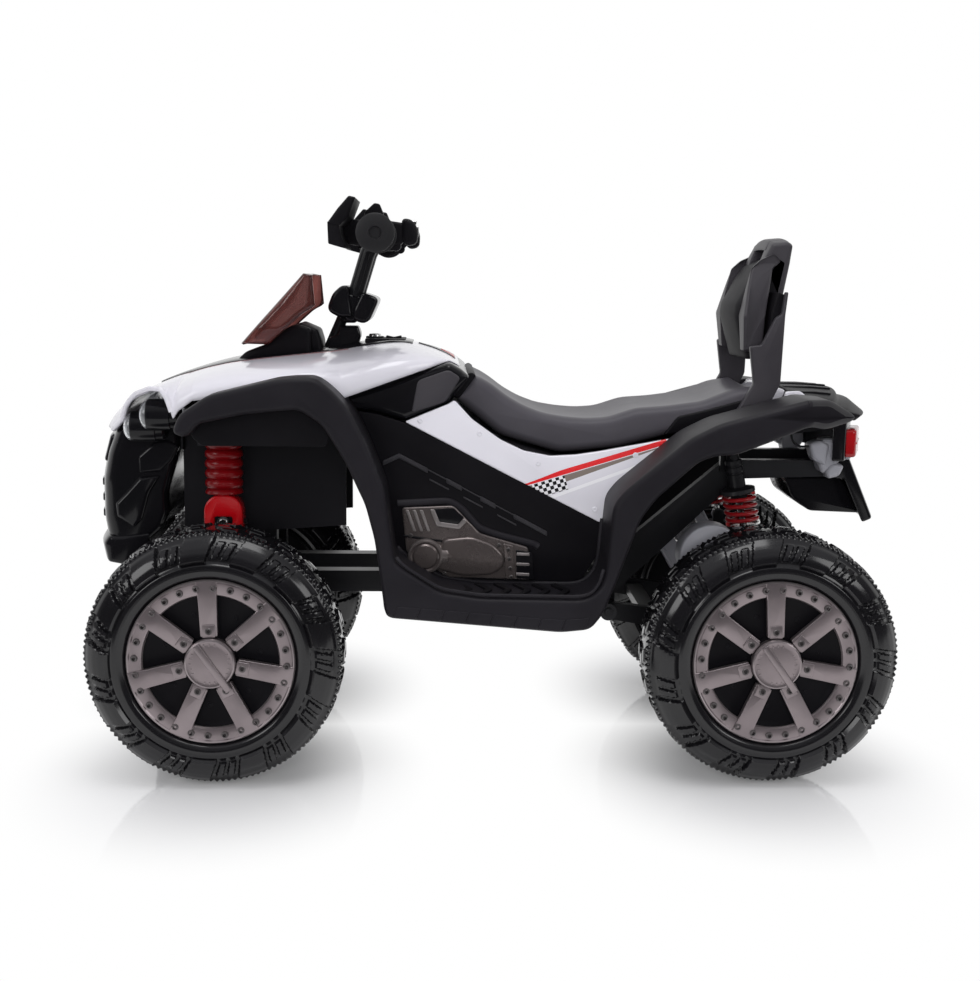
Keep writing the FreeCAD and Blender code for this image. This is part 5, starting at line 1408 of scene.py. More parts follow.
@dataclass
class FrontEnd:
    """Nose, bumper lip and headlights."""

    sweep: float = 20.0

    def swept(self, shell: Shell, half: float) -> Shell:
        """The surface with its sides swept back: x + sweep (y / half)^2 towards the front."""
        points = shell.points.copy()
        ahead = eased(-points[:, 0], 430.0, 520.0)
        points[:, 0] += self.sweep * (points[:, 1] / half) ** 2 * ahead
        return shell.reshaped(points)

    def nose(self) -> Shell:
        """Nose with a brow, three slats across its mouth and two raised facets on each side."""
        outline = [
            [-532, 453], [-545, 418], [-552, 380], [-552, 326], [-546, 288], [-512, 280], [-464, 312],
            [-452, 334], [-453, 363], [-440, 402], [-430, 437], [-432, 466], [-500, 474]]
        main = slab(
            evenly(rounded(outline, 7.0), 6.0), -98.0, 98.0, (13.0, 13.0), depth=(18.0, 18.0), steps=6,
            inner=14)
        shells = [main]
        for z in (330.0, 352.0, 374.0):
            slat = rounded([[-554, z - 6], [-545, z - 7], [-545, z + 7], [-554, z + 4]], 2.0)
            shells.append(slab(slat, -58.0, 58.0, (1.5, 1.5), inner=8))
        brow = rounded([[-551, 404], [-533, 400], [-522, 446], [-541, 440]], 4.0)
        shells.append(slab(brow, -70.0, 70.0, (4.0, 4.0), inner=10))
        made = self.swept(joined(shells), 98.0)
        low = rounded(
            [
                [-503, 368], [-487, 386], [-458, 388], [-474, 362], [-484, 326], [-496, 315], [-519, 330],
                [-521, 349]],
            3.0)
        high = rounded(
            [[-463, 437], [-446, 438], [-432, 428], [-441, 408], [-456, 392], [-487, 391], [-489, 414]],
            3.0)
        facets = slab(
            low, -104.0, -90.0, (6.0, 0.5), depth=(7.0, 0.5)) + slab(high, -101.0, -90.0, (5.0, 0.5))
        return made + facets.both()

    def bumper(self) -> Shell:
        """Bumper lip under the nose: a wedge with swept ends."""
        outline = [
            [-556, 292], [-551, 266], [-520, 260], [-488, 292], [-489, 308], [-536, 303], [-549, 303]]
        return self.swept(slab(rounded(outline, 4.0), -102.0, 102.0, (7.0, 7.0), inner=14), 102.0)

    def barrel(self, x: float, y: float, z: float, length: float) -> Shell:
        """One headlight barrel with a stepped bezel, a bowl and a ribbed back."""
        profile = [
            [length, 14], [length - 3, 17.5], [length - 12, 19], [length - 13, 20.4],
            [16, 21.2], [3, 21], [0.6, 20.6], [0, 19.8], [0.6, 18.6], [6, 17.9], [12, 13],
            [17, 6], [18, 1]]
        return lathe(profile, (x, y, z), 0, 44)

    def lens(self, x: float, y: float, z: float) -> Shell:
        """One domed lens: x = -11 cos t, r = 19 sin t, with a 1.6 mm wall."""
        turn = np.linspace(0.03, math.pi / 2, 14)
        outer = np.stack([-11.0 * np.cos(turn), 19.2 * np.sin(turn)], axis=1)
        inside = np.stack([1.0 - 10.4 * np.cos(turn), 17.4 * np.sin(turn)], axis=1)[::-1]
        return lathe(np.vstack([outer, np.array([[2.6, 19.2], [3.2, 18.0]]), inside]), (x, y, z), 0, 44)

    def bulb(self, x: float, y: float, z: float) -> Shell:
        """One chrome reflector ring and bulb cap inside the barrel."""
        ring = lathe([[3.4, 18.2], [3, 16.8], [6.5, 15.6], [7.5, 16.4]], (x, y, z), 0, 36)
        cap = lathe([[8, 0.5], [8.2, 3], [9.5, 4.5], [16, 4.5], [16.5, 0.5]], (x, y, z), 0, 20)
        return ring + cap

    def build(self) -> None:
        """Builds the front end on the chassis."""
        places = ((-490.0, -124.0, 458.0, 46.0), (-463.0, -152.0, 477.0, 44.0))
        barrels = joined([self.barrel(*place) for place in places]).both()
        lenses = joined([self.lens(*place[:3]) for place in places]).both()
        bulbs = joined([self.bulb(*place[:3]) for place in places]).both()
        Piece("nose_shell", self.nose(), Finish.GLOSS, "chassis", ("nose_fascia",)).build()
        Piece("bumper_lip", self.bumper(), Finish.GLOSS, "chassis", ("front_bumper",)).build()
        Piece("headlight_barrels", barrels, Finish.GLOSS, "chassis", ("headlight_housings",)).build()
        Piece("headlight_bulbs", bulbs, Finish.STEEL).build()
        Piece("headlight_panes", lenses, Finish.CLEAR, "chassis", ("headlight_lenses",)).build()


@dataclass
class Saddle:
    """Tank shroud, moulded seat, backrest with pad and its brackets."""

    half: float = 108.0

    def shroud(self) -> Shell:
        """Dark shroud under the tank."""
        outline = [
            [-204, 487], [-160, 482], [-121, 470.5], [-61, 495], [-57, 500], [-33, 531], [-45, 541],
            [-61, 550], [-131, 527], [-204, 502]]
        return slab(
            rounded(outline, 5.0), -150.0, 150.0, (10.0, 10.0), depth=(14.0, 14.0), steps=6, inner=4)

    def shroud_facet(self) -> Shell:
        """Pressed facets on the shroud's sides, in a lighter finish than the shroud: a painted highlight.
        """
        facet = [[-112, 482], [-66, 497], [-45, 530], [-62, 541], [-104, 526]]
        return slab(rounded(facet, 6.0), -151.5, -140.0, (3.0, 0.2)).both()

    def seat(self) -> Shell:
        """Seat: its side outline carried across, the top hollowed by 5 (1 - (y/half)^2) mm."""
        outline = [
            [-57, 500], [-30, 533], [-16, 528], [-1, 519], [20, 503], [43, 490], [70, 480], [101, 475],
            [130, 473], [160, 475], [199, 488], [240, 491], [291, 498], [334, 515], [371, 520],
            [371, 467], [262, 453.5], [176, 430.5], [93, 422.5], [10, 446.5]]
        made = slab(
            evenly(rounded(outline, 10.0), 7.0), -self.half, self.half, (14.0, 14.0), depth=(22.0, 22.0),
            steps=8, inner=24)
        points = made.points.copy()
        top = curve_through(
            np.array([[-57, 492], [-30, 520], [43, 480], [101, 466], [199, 478], [371, 508]], float),
            points[:, 0])
        hollow = 1.0 - np.clip(np.abs(points[:, 1]) / self.half, 0.0, 1.0) ** 2
        points[:, 2] -= 5.0 * hollow * (points[:, 2] > top)
        return made.reshaped(points)

    def seat_lip(self) -> Shell:
        """Front lip of the seat and the stepped trim at the lower rear."""
        lip = [[-59, 501], [-35, 533], [-30, 535], [-24, 531], [-47, 499]]
        trim = [[236, 450.5], [255, 476], [300, 487], [342, 499], [371, 503], [371, 468], [262, 454]]
        front = slab(rounded(lip, 2.5), -self.half - 6.0, self.half + 6.0, (2.5, 2.5))
        rear = slab(rounded(trim, 5.0), -self.half - 4.0, -self.half + 14.0, (3.0, 0.3))
        return front + rear.both()

    def brackets(self) -> Shell:
        """Two leaning backrest brackets that narrow to a blade at the top."""
        outline = [
            [322, 466], [344, 500], [357, 523], [350, 574], [366, 576], [384, 613], [392, 618],
            [396, 648], [400, 648], [397, 616], [394, 523], [382, 498], [374, 466]]
        return slab(rounded(outline, 3.0), -121.0, -109.0, (2.5, 2.5)).both()

    def core(self) -> Shell:
        """Dark middle of the backrest between its bolsters, with the tie to both brackets."""
        outline = [
            [368, 562], [388, 566], [402, 640], [412, 690], [400, 697], [385, 683], [368, 660],
            [354, 630], [353, 612], [359, 581]]
        tie = [[374, 566], [391, 563], [398, 644], [389, 648], [380, 620]]
        middle = slab(evenly(rounded(outline, 4.0), 4.0), -60.0, 60.0, (4.0, 4.0), steps=4)
        return middle + slab(rounded(tie, 2.0), -111.0, 111.0, (1.5, 1.5))

    def top_grip(self) -> Shell:
        """Head of the backrest with its grab slot: two posts and a bar, arched by 7 (y/56)^2 mm."""
        post = [
            [376, 684], [396, 640], [407, 638], [416, 689], [419, 720], [412, 724], [390, 722],
            [383, 704]]
        bar = [[383, 706], [417, 706], [419, 720], [412, 724], [390, 722]]
        posts = slab(
            evenly(rounded(post, 4.0), 3.0), -60.0, -30.0, (5.0, 3.0), steps=5, depth=(6.0, 3.0)).both()
        made = posts + slab(evenly(rounded(bar, 4.0), 3.0), -40.0, 40.0, (2.0, 2.0), inner=8)
        points = made.points.copy()
        points[:, 2] -= 7.0 * (points[:, 1] / 56.0) ** 2 * eased(points[:, 2], 690.0, 722.0)
        return made.reshaped(points)

    def bolsters(self) -> Shell:
        """Side bolsters bent at z = 615: y leans inwards by 0.5 mm per mm above it and 0.25 below it."""
        outline = [
            [372, 692], [359, 680], [353, 656], [344, 615], [348, 566], [374, 564], [374, 615],
            [389, 680], [400, 690], [390, 700]]
        made = slab(evenly(rounded(outline, 3.0), 4.0), -102.0, -66.0, (3.0, 1.0), steps=4, inner=3)
        points = made.points.copy()
        rise = points[:, 2] - 615.0
        lean = 0.5 * np.maximum(rise, 0.0) + 0.25 * np.maximum(-rise, 0.0)
        points[:, 1] += lean * eased(-points[:, 1], 66.0, 102.0)
        return made.reshaped(points).both()

    def pad(self) -> Shell:
        """Pad between the bolsters: outline carried across, its sides drawn back by 5 (y/64)^2 mm."""
        outline = [
            [400, 694], [390, 694], [374, 684], [356, 660], [339, 632], [337, 615], [345, 583],
            [356, 553], [368, 553], [368, 600], [372, 640], [386, 676]]
        made = slab(
            evenly(rounded(outline, 5.0), 4.0), -64.0, 64.0, (8.0, 8.0), depth=(14.0, 14.0), steps=8,
            inner=16)
        points = made.points.copy()
        points[:, 0] += 5.0 * (points[:, 1] / 64.0) ** 2 * eased(-points[:, 0], -366.0, -345.0)
        return made.reshaped(points)

    def build(self) -> None:
        Piece("shroud_shell", self.shroud(), Finish.GLOSS, "chassis", ("tank_shroud",)).build()
        # The facets take the lighter charcoal: a painted highlight on the gloss black shroud.
        Piece("shroud_facet", self.shroud_facet(), Finish.ARM).build()
        Piece("seat_shell", self.seat(), Finish.CHARCOAL, "chassis", ("seat",)).build()
        Piece("seat_trim", self.seat_lip(), Finish.MATTE).build()
        # Backrest arms in the lighter charcoal: painted light on their lit facets.
        Piece("backrest_arms", self.brackets(), Finish.ARM, "chassis", ("backrest_brackets",)).build()
        Piece("backrest_back", self.core(), Finish.MATTE, "chassis", ("backrest_shell",)).build()
        # Bolsters and top grip in the lighter charcoal: painted light on their lit facets.
        Piece("backrest_bolsters", self.bolsters() + self.top_grip(), Finish.ARM).build()
        cushion = Piece("backrest_cushion", self.pad(), Finish.PAD, "chassis", ("backrest_pad",)).build()


@dataclass
class Steering:
    """Handlebar with risers, clamp, grips, guards, pods, levers and the horn button."""

    bar_place: Point = (-156.0, 0.0, 717.0)
    horn_place: Point = (0.0, -104.0, 722.0)

    def bar(self) -> Shell:
        """Cross bar and its two broad risers with rounded feet."""
        bar = lathe([[-246, 10], [-244, 11], [244, 11], [246, 10]], self.bar_place, 1, 32)
        path = evenly(at_side([[-194, 634], [-176, 694], [-166, 714]], -34.0), 5.0, closed=False)
        up = np.clip((path[:, 2] - 630.0) / 12.0, 0.0, 1.0)
        foot = np.sqrt(np.clip(1.0 - (1.0 - up) ** 2, 0.05, 1.0))
        riser = tube(path, 10.8 * foot, 24)
        groove = [[-196.5, 636], [-190, 634], [-171, 697], [-177.5, 699]]
        rail = slab(rounded(groove, 3.0), -46.6, -42.0, (1.2, 0.3))
        collar = lathe([[-46, 13], [-44.5, 15], [-23.5, 15], [-22, 13]], self.bar_place, 1, 32)
        return bar + (riser + collar + rail).both()

    def clamp(self) -> Shell:
        """Clamp shroud of two lobes on the stem, with a bolt head on each side."""
        stem = [[-215, 597], [-192, 597], [-192, 616], [-217, 618]]
        left = [[-202, 650], [-212, 650], [-224, 639], [-231, 621], [-229, 613], [-214, 605], [-196, 606]]
        right = [[-184, 641], [-163, 634], [-160, 629], [-172, 602], [-181, 597], [-196, 602], [-196, 616]]
        shells = [slab(rounded(stem, 5.0), -18.0, 18.0, (4.0, 4.0))]
        middle = [[-212, 640], [-180, 634], [-176, 608], [-200, 598], [-214, 608]]
        shells.append(slab(rounded(middle, 4.0), -44.0, 44.0, (4.0, 4.0)))
        for lobe in (left, right):
            shells.append(slab(rounded(lobe, 6.0), -52.0, 52.0, (6.0, 6.0), steps=5))
        bolts = screw_heads([[-205.0, -18.0, 606.0]], 1, -1.0, 4.2, 2.4, 16)
        return joined(shells) + bolts.both()

    def boss(self) -> Shell:
        """Fixed boss on the hood that the stem turns over."""
        outline = [
            [-236, 552], [-232, 576], [-220, 580], [-217, 593], [-190, 593], [-186, 580], [-193, 558]]
        return slab(rounded(outline, 4.0), -20.0, 20.0, (4.0, 4.0))

    def grip(self) -> Shell:
        """Left grip: ribbed sleeve between a flange and an end cap with a hole."""
        ribs = np.arange(146.0, 242.0, 2.0)
        sleeve = np.stack([-ribs, 18.0 - 0.9 * (np.arange(len(ribs)) % 2)], axis=1)[::-1]
        end = np.array(
            [
                [-247.6, 2.0], [-247.6, 7.0], [-250.0, 8.0], [-250.0, 22.5], [-248.6, 24.5],
                [-245.0, 24.5], [-243.6, 23.0], [-243.0, 18.0]])
        start = np.array(
            [
                [-144.0, 18.0], [-143.6, 22.0], [-142.0, 24.0], [-140.5, 24.0], [-140.0, 22.0],
                [-140.0, 11.5]])
        return lathe(np.vstack([end, sleeve, start]), self.bar_place, 1, 40)

    def guard(self) -> Shell:
        """Left hand guard: folded two-facet shield with a crease, and its block to the bar."""
        upper = [[-190, 763], [-181, 761], [-190, 737], [-202, 725], [-217, 729], [-204, 747]]
        lower = [[-202, 727], [-200, 715], [-193, 697], [-216, 703], [-217, 731]]
        arm = [[-206, 734], [-206, 708], [-190, 704], [-162, 699], [-150, 716], [-162, 734], [-188, 737]]
        shield = slab(rounded(upper, 2.0), -232.0, -118.0, (4.0, 3.0))
        shield = shield + slab(rounded(lower, 2.0), -231.0, -118.0, (3.0, 3.0))
        return shield + slab(rounded(arm, 4.0), -150.0, -118.0, (2.5, 2.5))

    def lever(self) -> Shell:
        """Left thumb lever, a wedge over the bar."""
        outline = [[-178, 736], [-174, 748], [-162, 759], [-155, 758], [-150, 746], [-148, 734]]
        return slab(rounded(outline, 2.0), -136.0, -120.0, (2.5, 2.5))

    def pod(self) -> Shell:
        """Left switch pod: neck behind the bar, a bulging rear knob and a clip under it."""
        neck = [[-172, 706], [-150, 700], [-124, 706], [-122, 734], [-150, 738], [-172, 730]]
        knob = [[-126, 741], [-112, 739], [-104, 727], [-105, 707], [-119, 703], [-128, 712]]
        body = slab(rounded(neck, 6.0), -116.0, -92.0, (4.0, 4.0))
        body = body + slab(rounded(knob, 7.0), -118.0, -90.0, (7.0, 7.0), steps=6)
        clip = lathe(
            [[-114, 6], [-113, 7], [-96, 7], [-95, 6]], (-134.0, 0.0, 704.0), 1, 20)
        return body + clip

    def pod_trim(self) -> Shell:
        """Left bright bezel and stud on the pod's rear face."""
        bezel = lathe(
            [[-112, 9.4], [-107.6, 9.4], [-106.8, 8.4], [-107.2, 7.3], [-110, 7.3]], self.horn_place,
            0, 32)
        stud = lathe(
            [[-112, 3], [-107, 3], [-106.2, 2], [-106, 0.4]], (0.0, -104.0, 735.5), 0, 16)
        return Shell(bezel.points, bezel.quads, []) + stud

    def build(self) -> None:
        """Builds the steering on its body and the horn button on its own."""
        Piece("bar_and_risers", self.bar(), Finish.BLACK_STEEL, "steering", ("handlebar",)).build()
        Piece("clamp_shroud", self.clamp(), Finish.GLOSS, "steering", ("handlebar_clamp",)).build()
        Piece("steering_boss", self.boss(), Finish.GLOSS).build()
        Piece("grip_sleeves", self.grip().both(), Finish.GRIP, "steering", ("grips",)).build()
        Piece("guard_shields", self.guard().both(), Finish.MATTE, "steering", ("hand_guards",)).build()
        Piece("thumb_levers", self.lever().both(), Finish.MATTE, "steering").build()
        Piece("pod_housings", self.pod().both(), Finish.MATTE, "steering", ("switch_pods",)).build()
        Piece("pod_bezels", self.pod_trim().both(), Finish.STEEL, "steering").build()
        horn = lathe(
            [[-118, 6.9], [-105.4, 6.9], [-103.8, 6], [-103.2, 3], [-103.2, 0.4]], self.horn_place,
            0, 28)
        Piece("horn_knob", horn, Finish.GLOSS, "horn", ("horn_button",)).build()


@dataclass
class Suspension:
    """Front shocks with bellows and forks, rear shocks with springs, gearboxes and motors."""

    front_x: float = -HALF_WHEELBASE
    front_y: float = -130.0
    rear_eye: Point = (336.0, -97.0, 420.0)
    rear_tilt: float = -10.92
    ribs: int = 5
    spring_turns: float = 4.5
    spring_radius: float = 21.0
    spring_wire: float = 2.9
    axle_place: tuple[float, float] = (HALF_WHEELBASE, 170.0)
    motor_place: tuple[float, float] = (300.0, 288.0)

    def bellows(self) -> Shell:
        """Left bellows: radius 21.6 + 4.2 |cos|^0.7 over its ribs."""
        share = np.linspace(0.0, 1.0, 101)
        height = 369.6 + (436.7 - 369.6) * share
        radius = 21.6 + 4.2 * np.abs(np.cos(math.pi * self.ribs * share)) ** 0.7
        return lathe(np.stack([height, radius], axis=1), (self.front_x, self.front_y, 0.0), 2, 48)

    def fork(self) -> Shell:
        """Left red fork: inverted U with a rolled rim and a raised crown."""
        arch = np.linspace(0.0, math.pi, 15)
        top = np.stack([26.0 * np.cos(arch), 346.0 + 23.0 * np.sin(arch)], axis=1)
        feet = [[-26, 318], [-12, 318], [-12, 338], [12, 338], [12, 318]]
        outline = np.vstack([[[26.0, 318.0]], top, feet]) + [self.front_x, 0.0]
        return slab(rounded(outline, 3.0, 4), self.front_y - 16.0, self.front_y + 16.0, (3.0, 3.0))

    def fork_bolt(self) -> Shell:
        """Left bolt through the fork, with washers and a nut."""
        half = np.array(
            [[-20.0, 1.0], [-20.0, 5.0], [-16.6, 6.0], [-16.4, 8.5], [-15.4, 8.5], [-15.4, 4.0]])
        profile = np.vstack([half, half[::-1] * [-1.0, 1.0]])
        return lathe(profile, (self.front_x, self.front_y, 330.0), 1, 24)

    def rear(self, profile: Array, count: int = 36) -> Shell:
        """A profile turned round the left rear shock's line, places counted down from its top eye."""
        made = lathe(profile * np.array([-1.0, 1.0]), self.rear_eye, 2, count)
        return made.turned(1, self.rear_tilt, self.rear_eye)

    def cylinder(self) -> Shell:
        """Left rear cylinder: ribbed body with an upper spring seat."""
        profile = np.array(
            [
                [-8, 1], [-8, 8], [4, 9], [6, 12], [12, 12], [13, 11], [15, 11], [16, 12], [22, 12],
                [23, 11], [25, 11], [26, 12], [44, 12], [46, 22], [47, 24], [52, 24], [53, 22],
                [53.5, 12], [60, 11.5], [60, 1]],
            float)
        return self.rear(profile)

    def spring(self) -> Shell:
        """Left rear spring: a helix between the seats, its end coils closer."""
        share = np.linspace(0.0, 1.0, 240)
        turn = share * 2 * math.pi * self.spring_turns
        down = 54.8 + (95.2 - 54.8) * eased(share, -0.12, 1.12)
        outward = np.stack([np.cos(turn), np.sin(turn), np.zeros_like(turn)], axis=1)
        path = self.spring_radius * outward
        path[:, 2] = -down
        along = np.gradient(path, axis=0)
        along /= np.linalg.norm(along, axis=1, keepdims=True)
        other = np.cross(along, outward)
        ring = np.linspace(0.0, 2 * math.pi, 14, endpoint=False)[None, :, None]
        wire = outward[:, None] * np.cos(ring) + other[:, None] * np.sin(ring)
        made = grid(path[:, None] + self.spring_wire * wire, capped=True).moved(*self.rear_eye)
        return made.turned(1, self.rear_tilt, self.rear_eye)

    def gearbox(self) -> Shell:
        """Left gearbox: two round housings joined by straight sides, with a stepped lid."""
        turn = np.linspace(0.0, 2 * math.pi, 72, endpoint=False)
        circle = np.stack([np.cos(turn), np.sin(turn)], axis=1)
        axis = np.array(self.motor_place) - np.array(self.axle_place)
        axis /= np.linalg.norm(axis)
        low = 42.0 * circle[42.0 * circle @ axis <= 0.5] + self.axle_place
        high = 44.0 * circle[44.0 * circle @ axis >= -0.5] + self.motor_place
        outer = np.vstack([low, high])
        middle = outer.mean(axis=0)
        order = np.argsort(np.arctan2(outer[:, 1] - middle[1], outer[:, 0] - middle[0]))
        outline = outer[order]
        inset = middle + (outline - middle) * 0.86
        case = slab(evenly(outline, 6.0), -156.8, -114.2, (3.0, 3.0))
        lid = slab(evenly(inset, 6.0), -114.8, -112.0, (0.2, 1.5))
        return case + lid

    def motor(self) -> Shell:
        """Left motor can with a vented end."""
        profile = [
            [-113.5, 21.8], [-60, 21.8], [-59, 20.6], [-57, 20.6], [-56, 21.8], [-53, 21.8], [-51, 20],
            [-50.2, 9], [-50.2, 1]]
        return lathe(profile, (self.motor_place[0], 0.0, self.motor_place[1]), 1, 36)

    def build(self) -> None:
        """Builds the shock pieces, the front bellows freed from their body and the others each on its body,
        and the drive on the swing arm.
        """
        for side in Side:
            shell = self.bellows().on(side)
            name = f"bellows_{side.name.lower()}"
            made = Piece(name, shell, Finish.RED_RUBBER, "front_axle", ("front_shock_bellows",)).build()
            made.parent = None
            x, y = self.front_x * MM, -side.value * self.front_y * MM
            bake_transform(made)
        Piece("shock_forks", self.fork().both(), Finish.RED, "front_axle", ("front_shock_forks",)).build()
        Piece("fork_bolts", self.fork_bolt().both(), Finish.STEEL, "front_axle").build()
        body = "shock_cylinders"
        Piece(body, self.cylinder().both(), Finish.SHOCK, body, ("rear_shock_cylinders",)).build()
        coils = self.spring().both()
        springs = Piece("shock_springs", coils, Finish.RED_SPRING, body, ("rear_shock_springs",)).build()
        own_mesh(springs)
        Piece("gearbox_cases", self.gearbox().both(), Finish.GREY, "swing_arm", ("gearboxes",)).build()
        Piece("motor_cans", self.motor().both(), Finish.STEEL, "swing_arm", ("drive_motors",)).build()


@dataclass
class Tail:
    """Tail cover, rack, plate bracket with mudflap, lamps and the two lamp wires."""

    wire_radius: float = 1.6
    sweep: float = 27.0

    def swept(self, shell: Shell) -> Shell:
        """The surface with its sides swept forward: x - sweep (y/120)^2 behind x = 430."""
        points = shell.points.copy()
        points[:, 0] -= self.sweep * (points[:, 1] / 120.0) ** 2 * eased(points[:, 0], 430.0, 492.0)
        return shell.reshaped(points)

    def cover(self) -> Shell:
        """White tail cover behind the seat."""
        outline = [[374, 467.5], [401, 470.5], [412, 512], [392, 516], [376, 504]]
        cheek = [[392, 471], [438, 478], [441, 498], [420, 514], [400, 513]]
        sides = slab(rounded(cheek, 3.0), -128.0, -122.0, (1.5, 0.5))
        return slab(rounded(outline, 5.0), -80.0, 80.0, (6.0, 6.0), inner=4) + sides.both()

    def rack(self) -> Shell:
        """Rear rack: deck with rolled sides and raised runners, its top falling by 12 (y/126)^2 mm."""
        outline = [
            [402, 470.5], [470, 478.5], [505, 478.5], [526, 473], [536, 481], [515, 499], [499, 502],
            [494, 512], [456, 514.5], [414, 515.5]]
        deck = slab(evenly(rounded(outline, 3.0), 8.0), -126.0, 126.0, (6.0, 6.0), inner=16)
        runner = [[416, 513], [456, 512], [486, 510], [488, 514.6], [457, 516.6], [417, 516.6]]
        strip = slab(rounded(runner, 1.0, 3), -6.0, 6.0, (1.0, 1.0))
        offsets = np.array([[0.0, y, 0.0] for y in (-84.0, -42.0, 0.0, 42.0, 84.0)])
        made = deck + strip.repeated(offsets)
        points = made.points.copy()
        points[:, 2] -= 12.0 * (points[:, 1] / 126.0) ** 2 * eased(points[:, 2], 480.0, 500.0)
        return self.swept(made.reshaped(points))

    def plate(self) -> Shell:
        """Plate bracket, back panel and slanting mudflap with a rolled foot."""
        outline = [
            [499, 388], [499, 470], [505, 477], [516.5, 470], [516.5, 420], [555, 331], [541, 325],
            [512, 388]]
        flap = slab(rounded(outline, 4.0), -88.0, 88.0, (3.0, 3.0), inner=14)
        panel = rounded([[499, 418], [516.5, 418], [518, 479], [499, 479]], 3.0)
        fill = [[420, 385], [500, 386], [536, 334], [458, 337], [432, 356]]
        guard = slab(rounded(fill, 6.0), -60.0, 60.0, (3.0, 3.0))
        return self.swept(flap + slab(panel, -133.0, 133.0, (3.0, 3.0), inner=20)) + guard

    def plate_bolts(self) -> Shell:
        """Two bolt bushes in the plate's holes."""
        bush = lathe(
            [[516, 5], [517.8, 5], [518.4, 4.2], [518.4, 2.7], [516, 2.7]], (0.0, -30.0, 445.0),
            0, 24)
        return Shell(bush.points, bush.quads, []).both()

    def lamp(self) -> Shell:
        """Left tail lamp lens, with two moulded ribs."""
        face = rounded([[-127.5, 422.5], [-56.5, 422.5], [-56.5, 461.5], [-127.5, 461.5]], 6.0)
        lens = slab(face, 517.0, 530.5, (0.5, 4.0), Plane.FRONT, steps=5)
        rib = rounded([[-123, 440.5], [-61, 440.5], [-61, 443.5], [-123, 443.5]], 1.0, 3)
        return self.swept(lens + slab(rib, 529.0, 531.6, (0.2, 0.8), Plane.FRONT))

    def housing(self) -> Shell:
        """Left lamp back: a cluster of rounded grey lumps."""
        lumps = (
            ([[436, 441], [443, 418], [460, 410], [466, 440], [452, 446]], -126.0, -96.0),
            ([[456, 448], [477, 448], [486, 424], [472, 402], [456, 399], [450, 420]], -122.0, -88.0),
            ([[470, 414], [487, 412], [481, 396], [464, 392], [460, 402]], -127.0, -104.0),
            ([[474, 446], [498, 456], [498, 418], [482, 418]], -120.0, -90.0))
        shells = []
        for line, low, high in lumps:
            shells.append(slab(rounded(line, 6.0), low, high, (6.0, 4.0), steps=5))
        return joined(shells)

    def wire(self, side: Side) -> None:
        """One lamp wire as a curve from the deck to the lamp's back."""
        line = [[412, 457.4], [412.4, 449.4], [417, 440.9], [426, 435.9], [437, 437.4], [448.3, 437.4]]
        route = at_side(line, 118.0 * side.value) * MM
        points = np.hstack([route, np.ones((len(route), 1))])
        curve = bpy.data.curves.new(f"lamp_wire_{side.name.lower()}", "CURVE")
        curve.dimensions = "3D"
        curve.bevel_depth = self.wire_radius * MM
        curve.bevel_resolution = 4
        curve.use_fill_caps = True
        spline = curve.splines.new("NURBS")
        spline.points.add(len(route) - 1)
        spline.points.foreach_set("co", points.reshape(-1))
        spline.order_u = 3
        spline.use_endpoint_u = True
        spline.resolution_u = 12
        made = bpy.data.objects.new(curve.name, curve)
        bpy.context.scene.collection.objects.link(made)
        curve.materials.append(Finish.BLACK_STEEL.material())
        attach(made, "chassis")
        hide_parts("tail_lamp_wires")

    def wires(self) -> None:
        """Both lamp wires."""
        for side in Side:
            self.wire(side)

    def build(self) -> None:
        """Builds the tail on the chassis."""
        Piece("tail_shell", self.cover(), Finish.WHITE, "chassis", ("tail_cover",)).build()
        Piece("rack_deck", self.rack(), Finish.MATTE, "chassis", ("rear_rack",)).build()
        Piece("plate_and_flap", self.plate(), Finish.GLOSS, "chassis", ("plate_bracket",)).build()
        Piece("plate_bushes", self.plate_bolts(), Finish.STEEL).build()
        Piece("lamp_lenses", self.lamp().both(), Finish.RED_LENS, "chassis", ("tail_lamps",)).build()
        Piece("lamp_backs", self.housing().both(), Finish.GREY, "chassis", ("tail_lamp_housings",)).build()


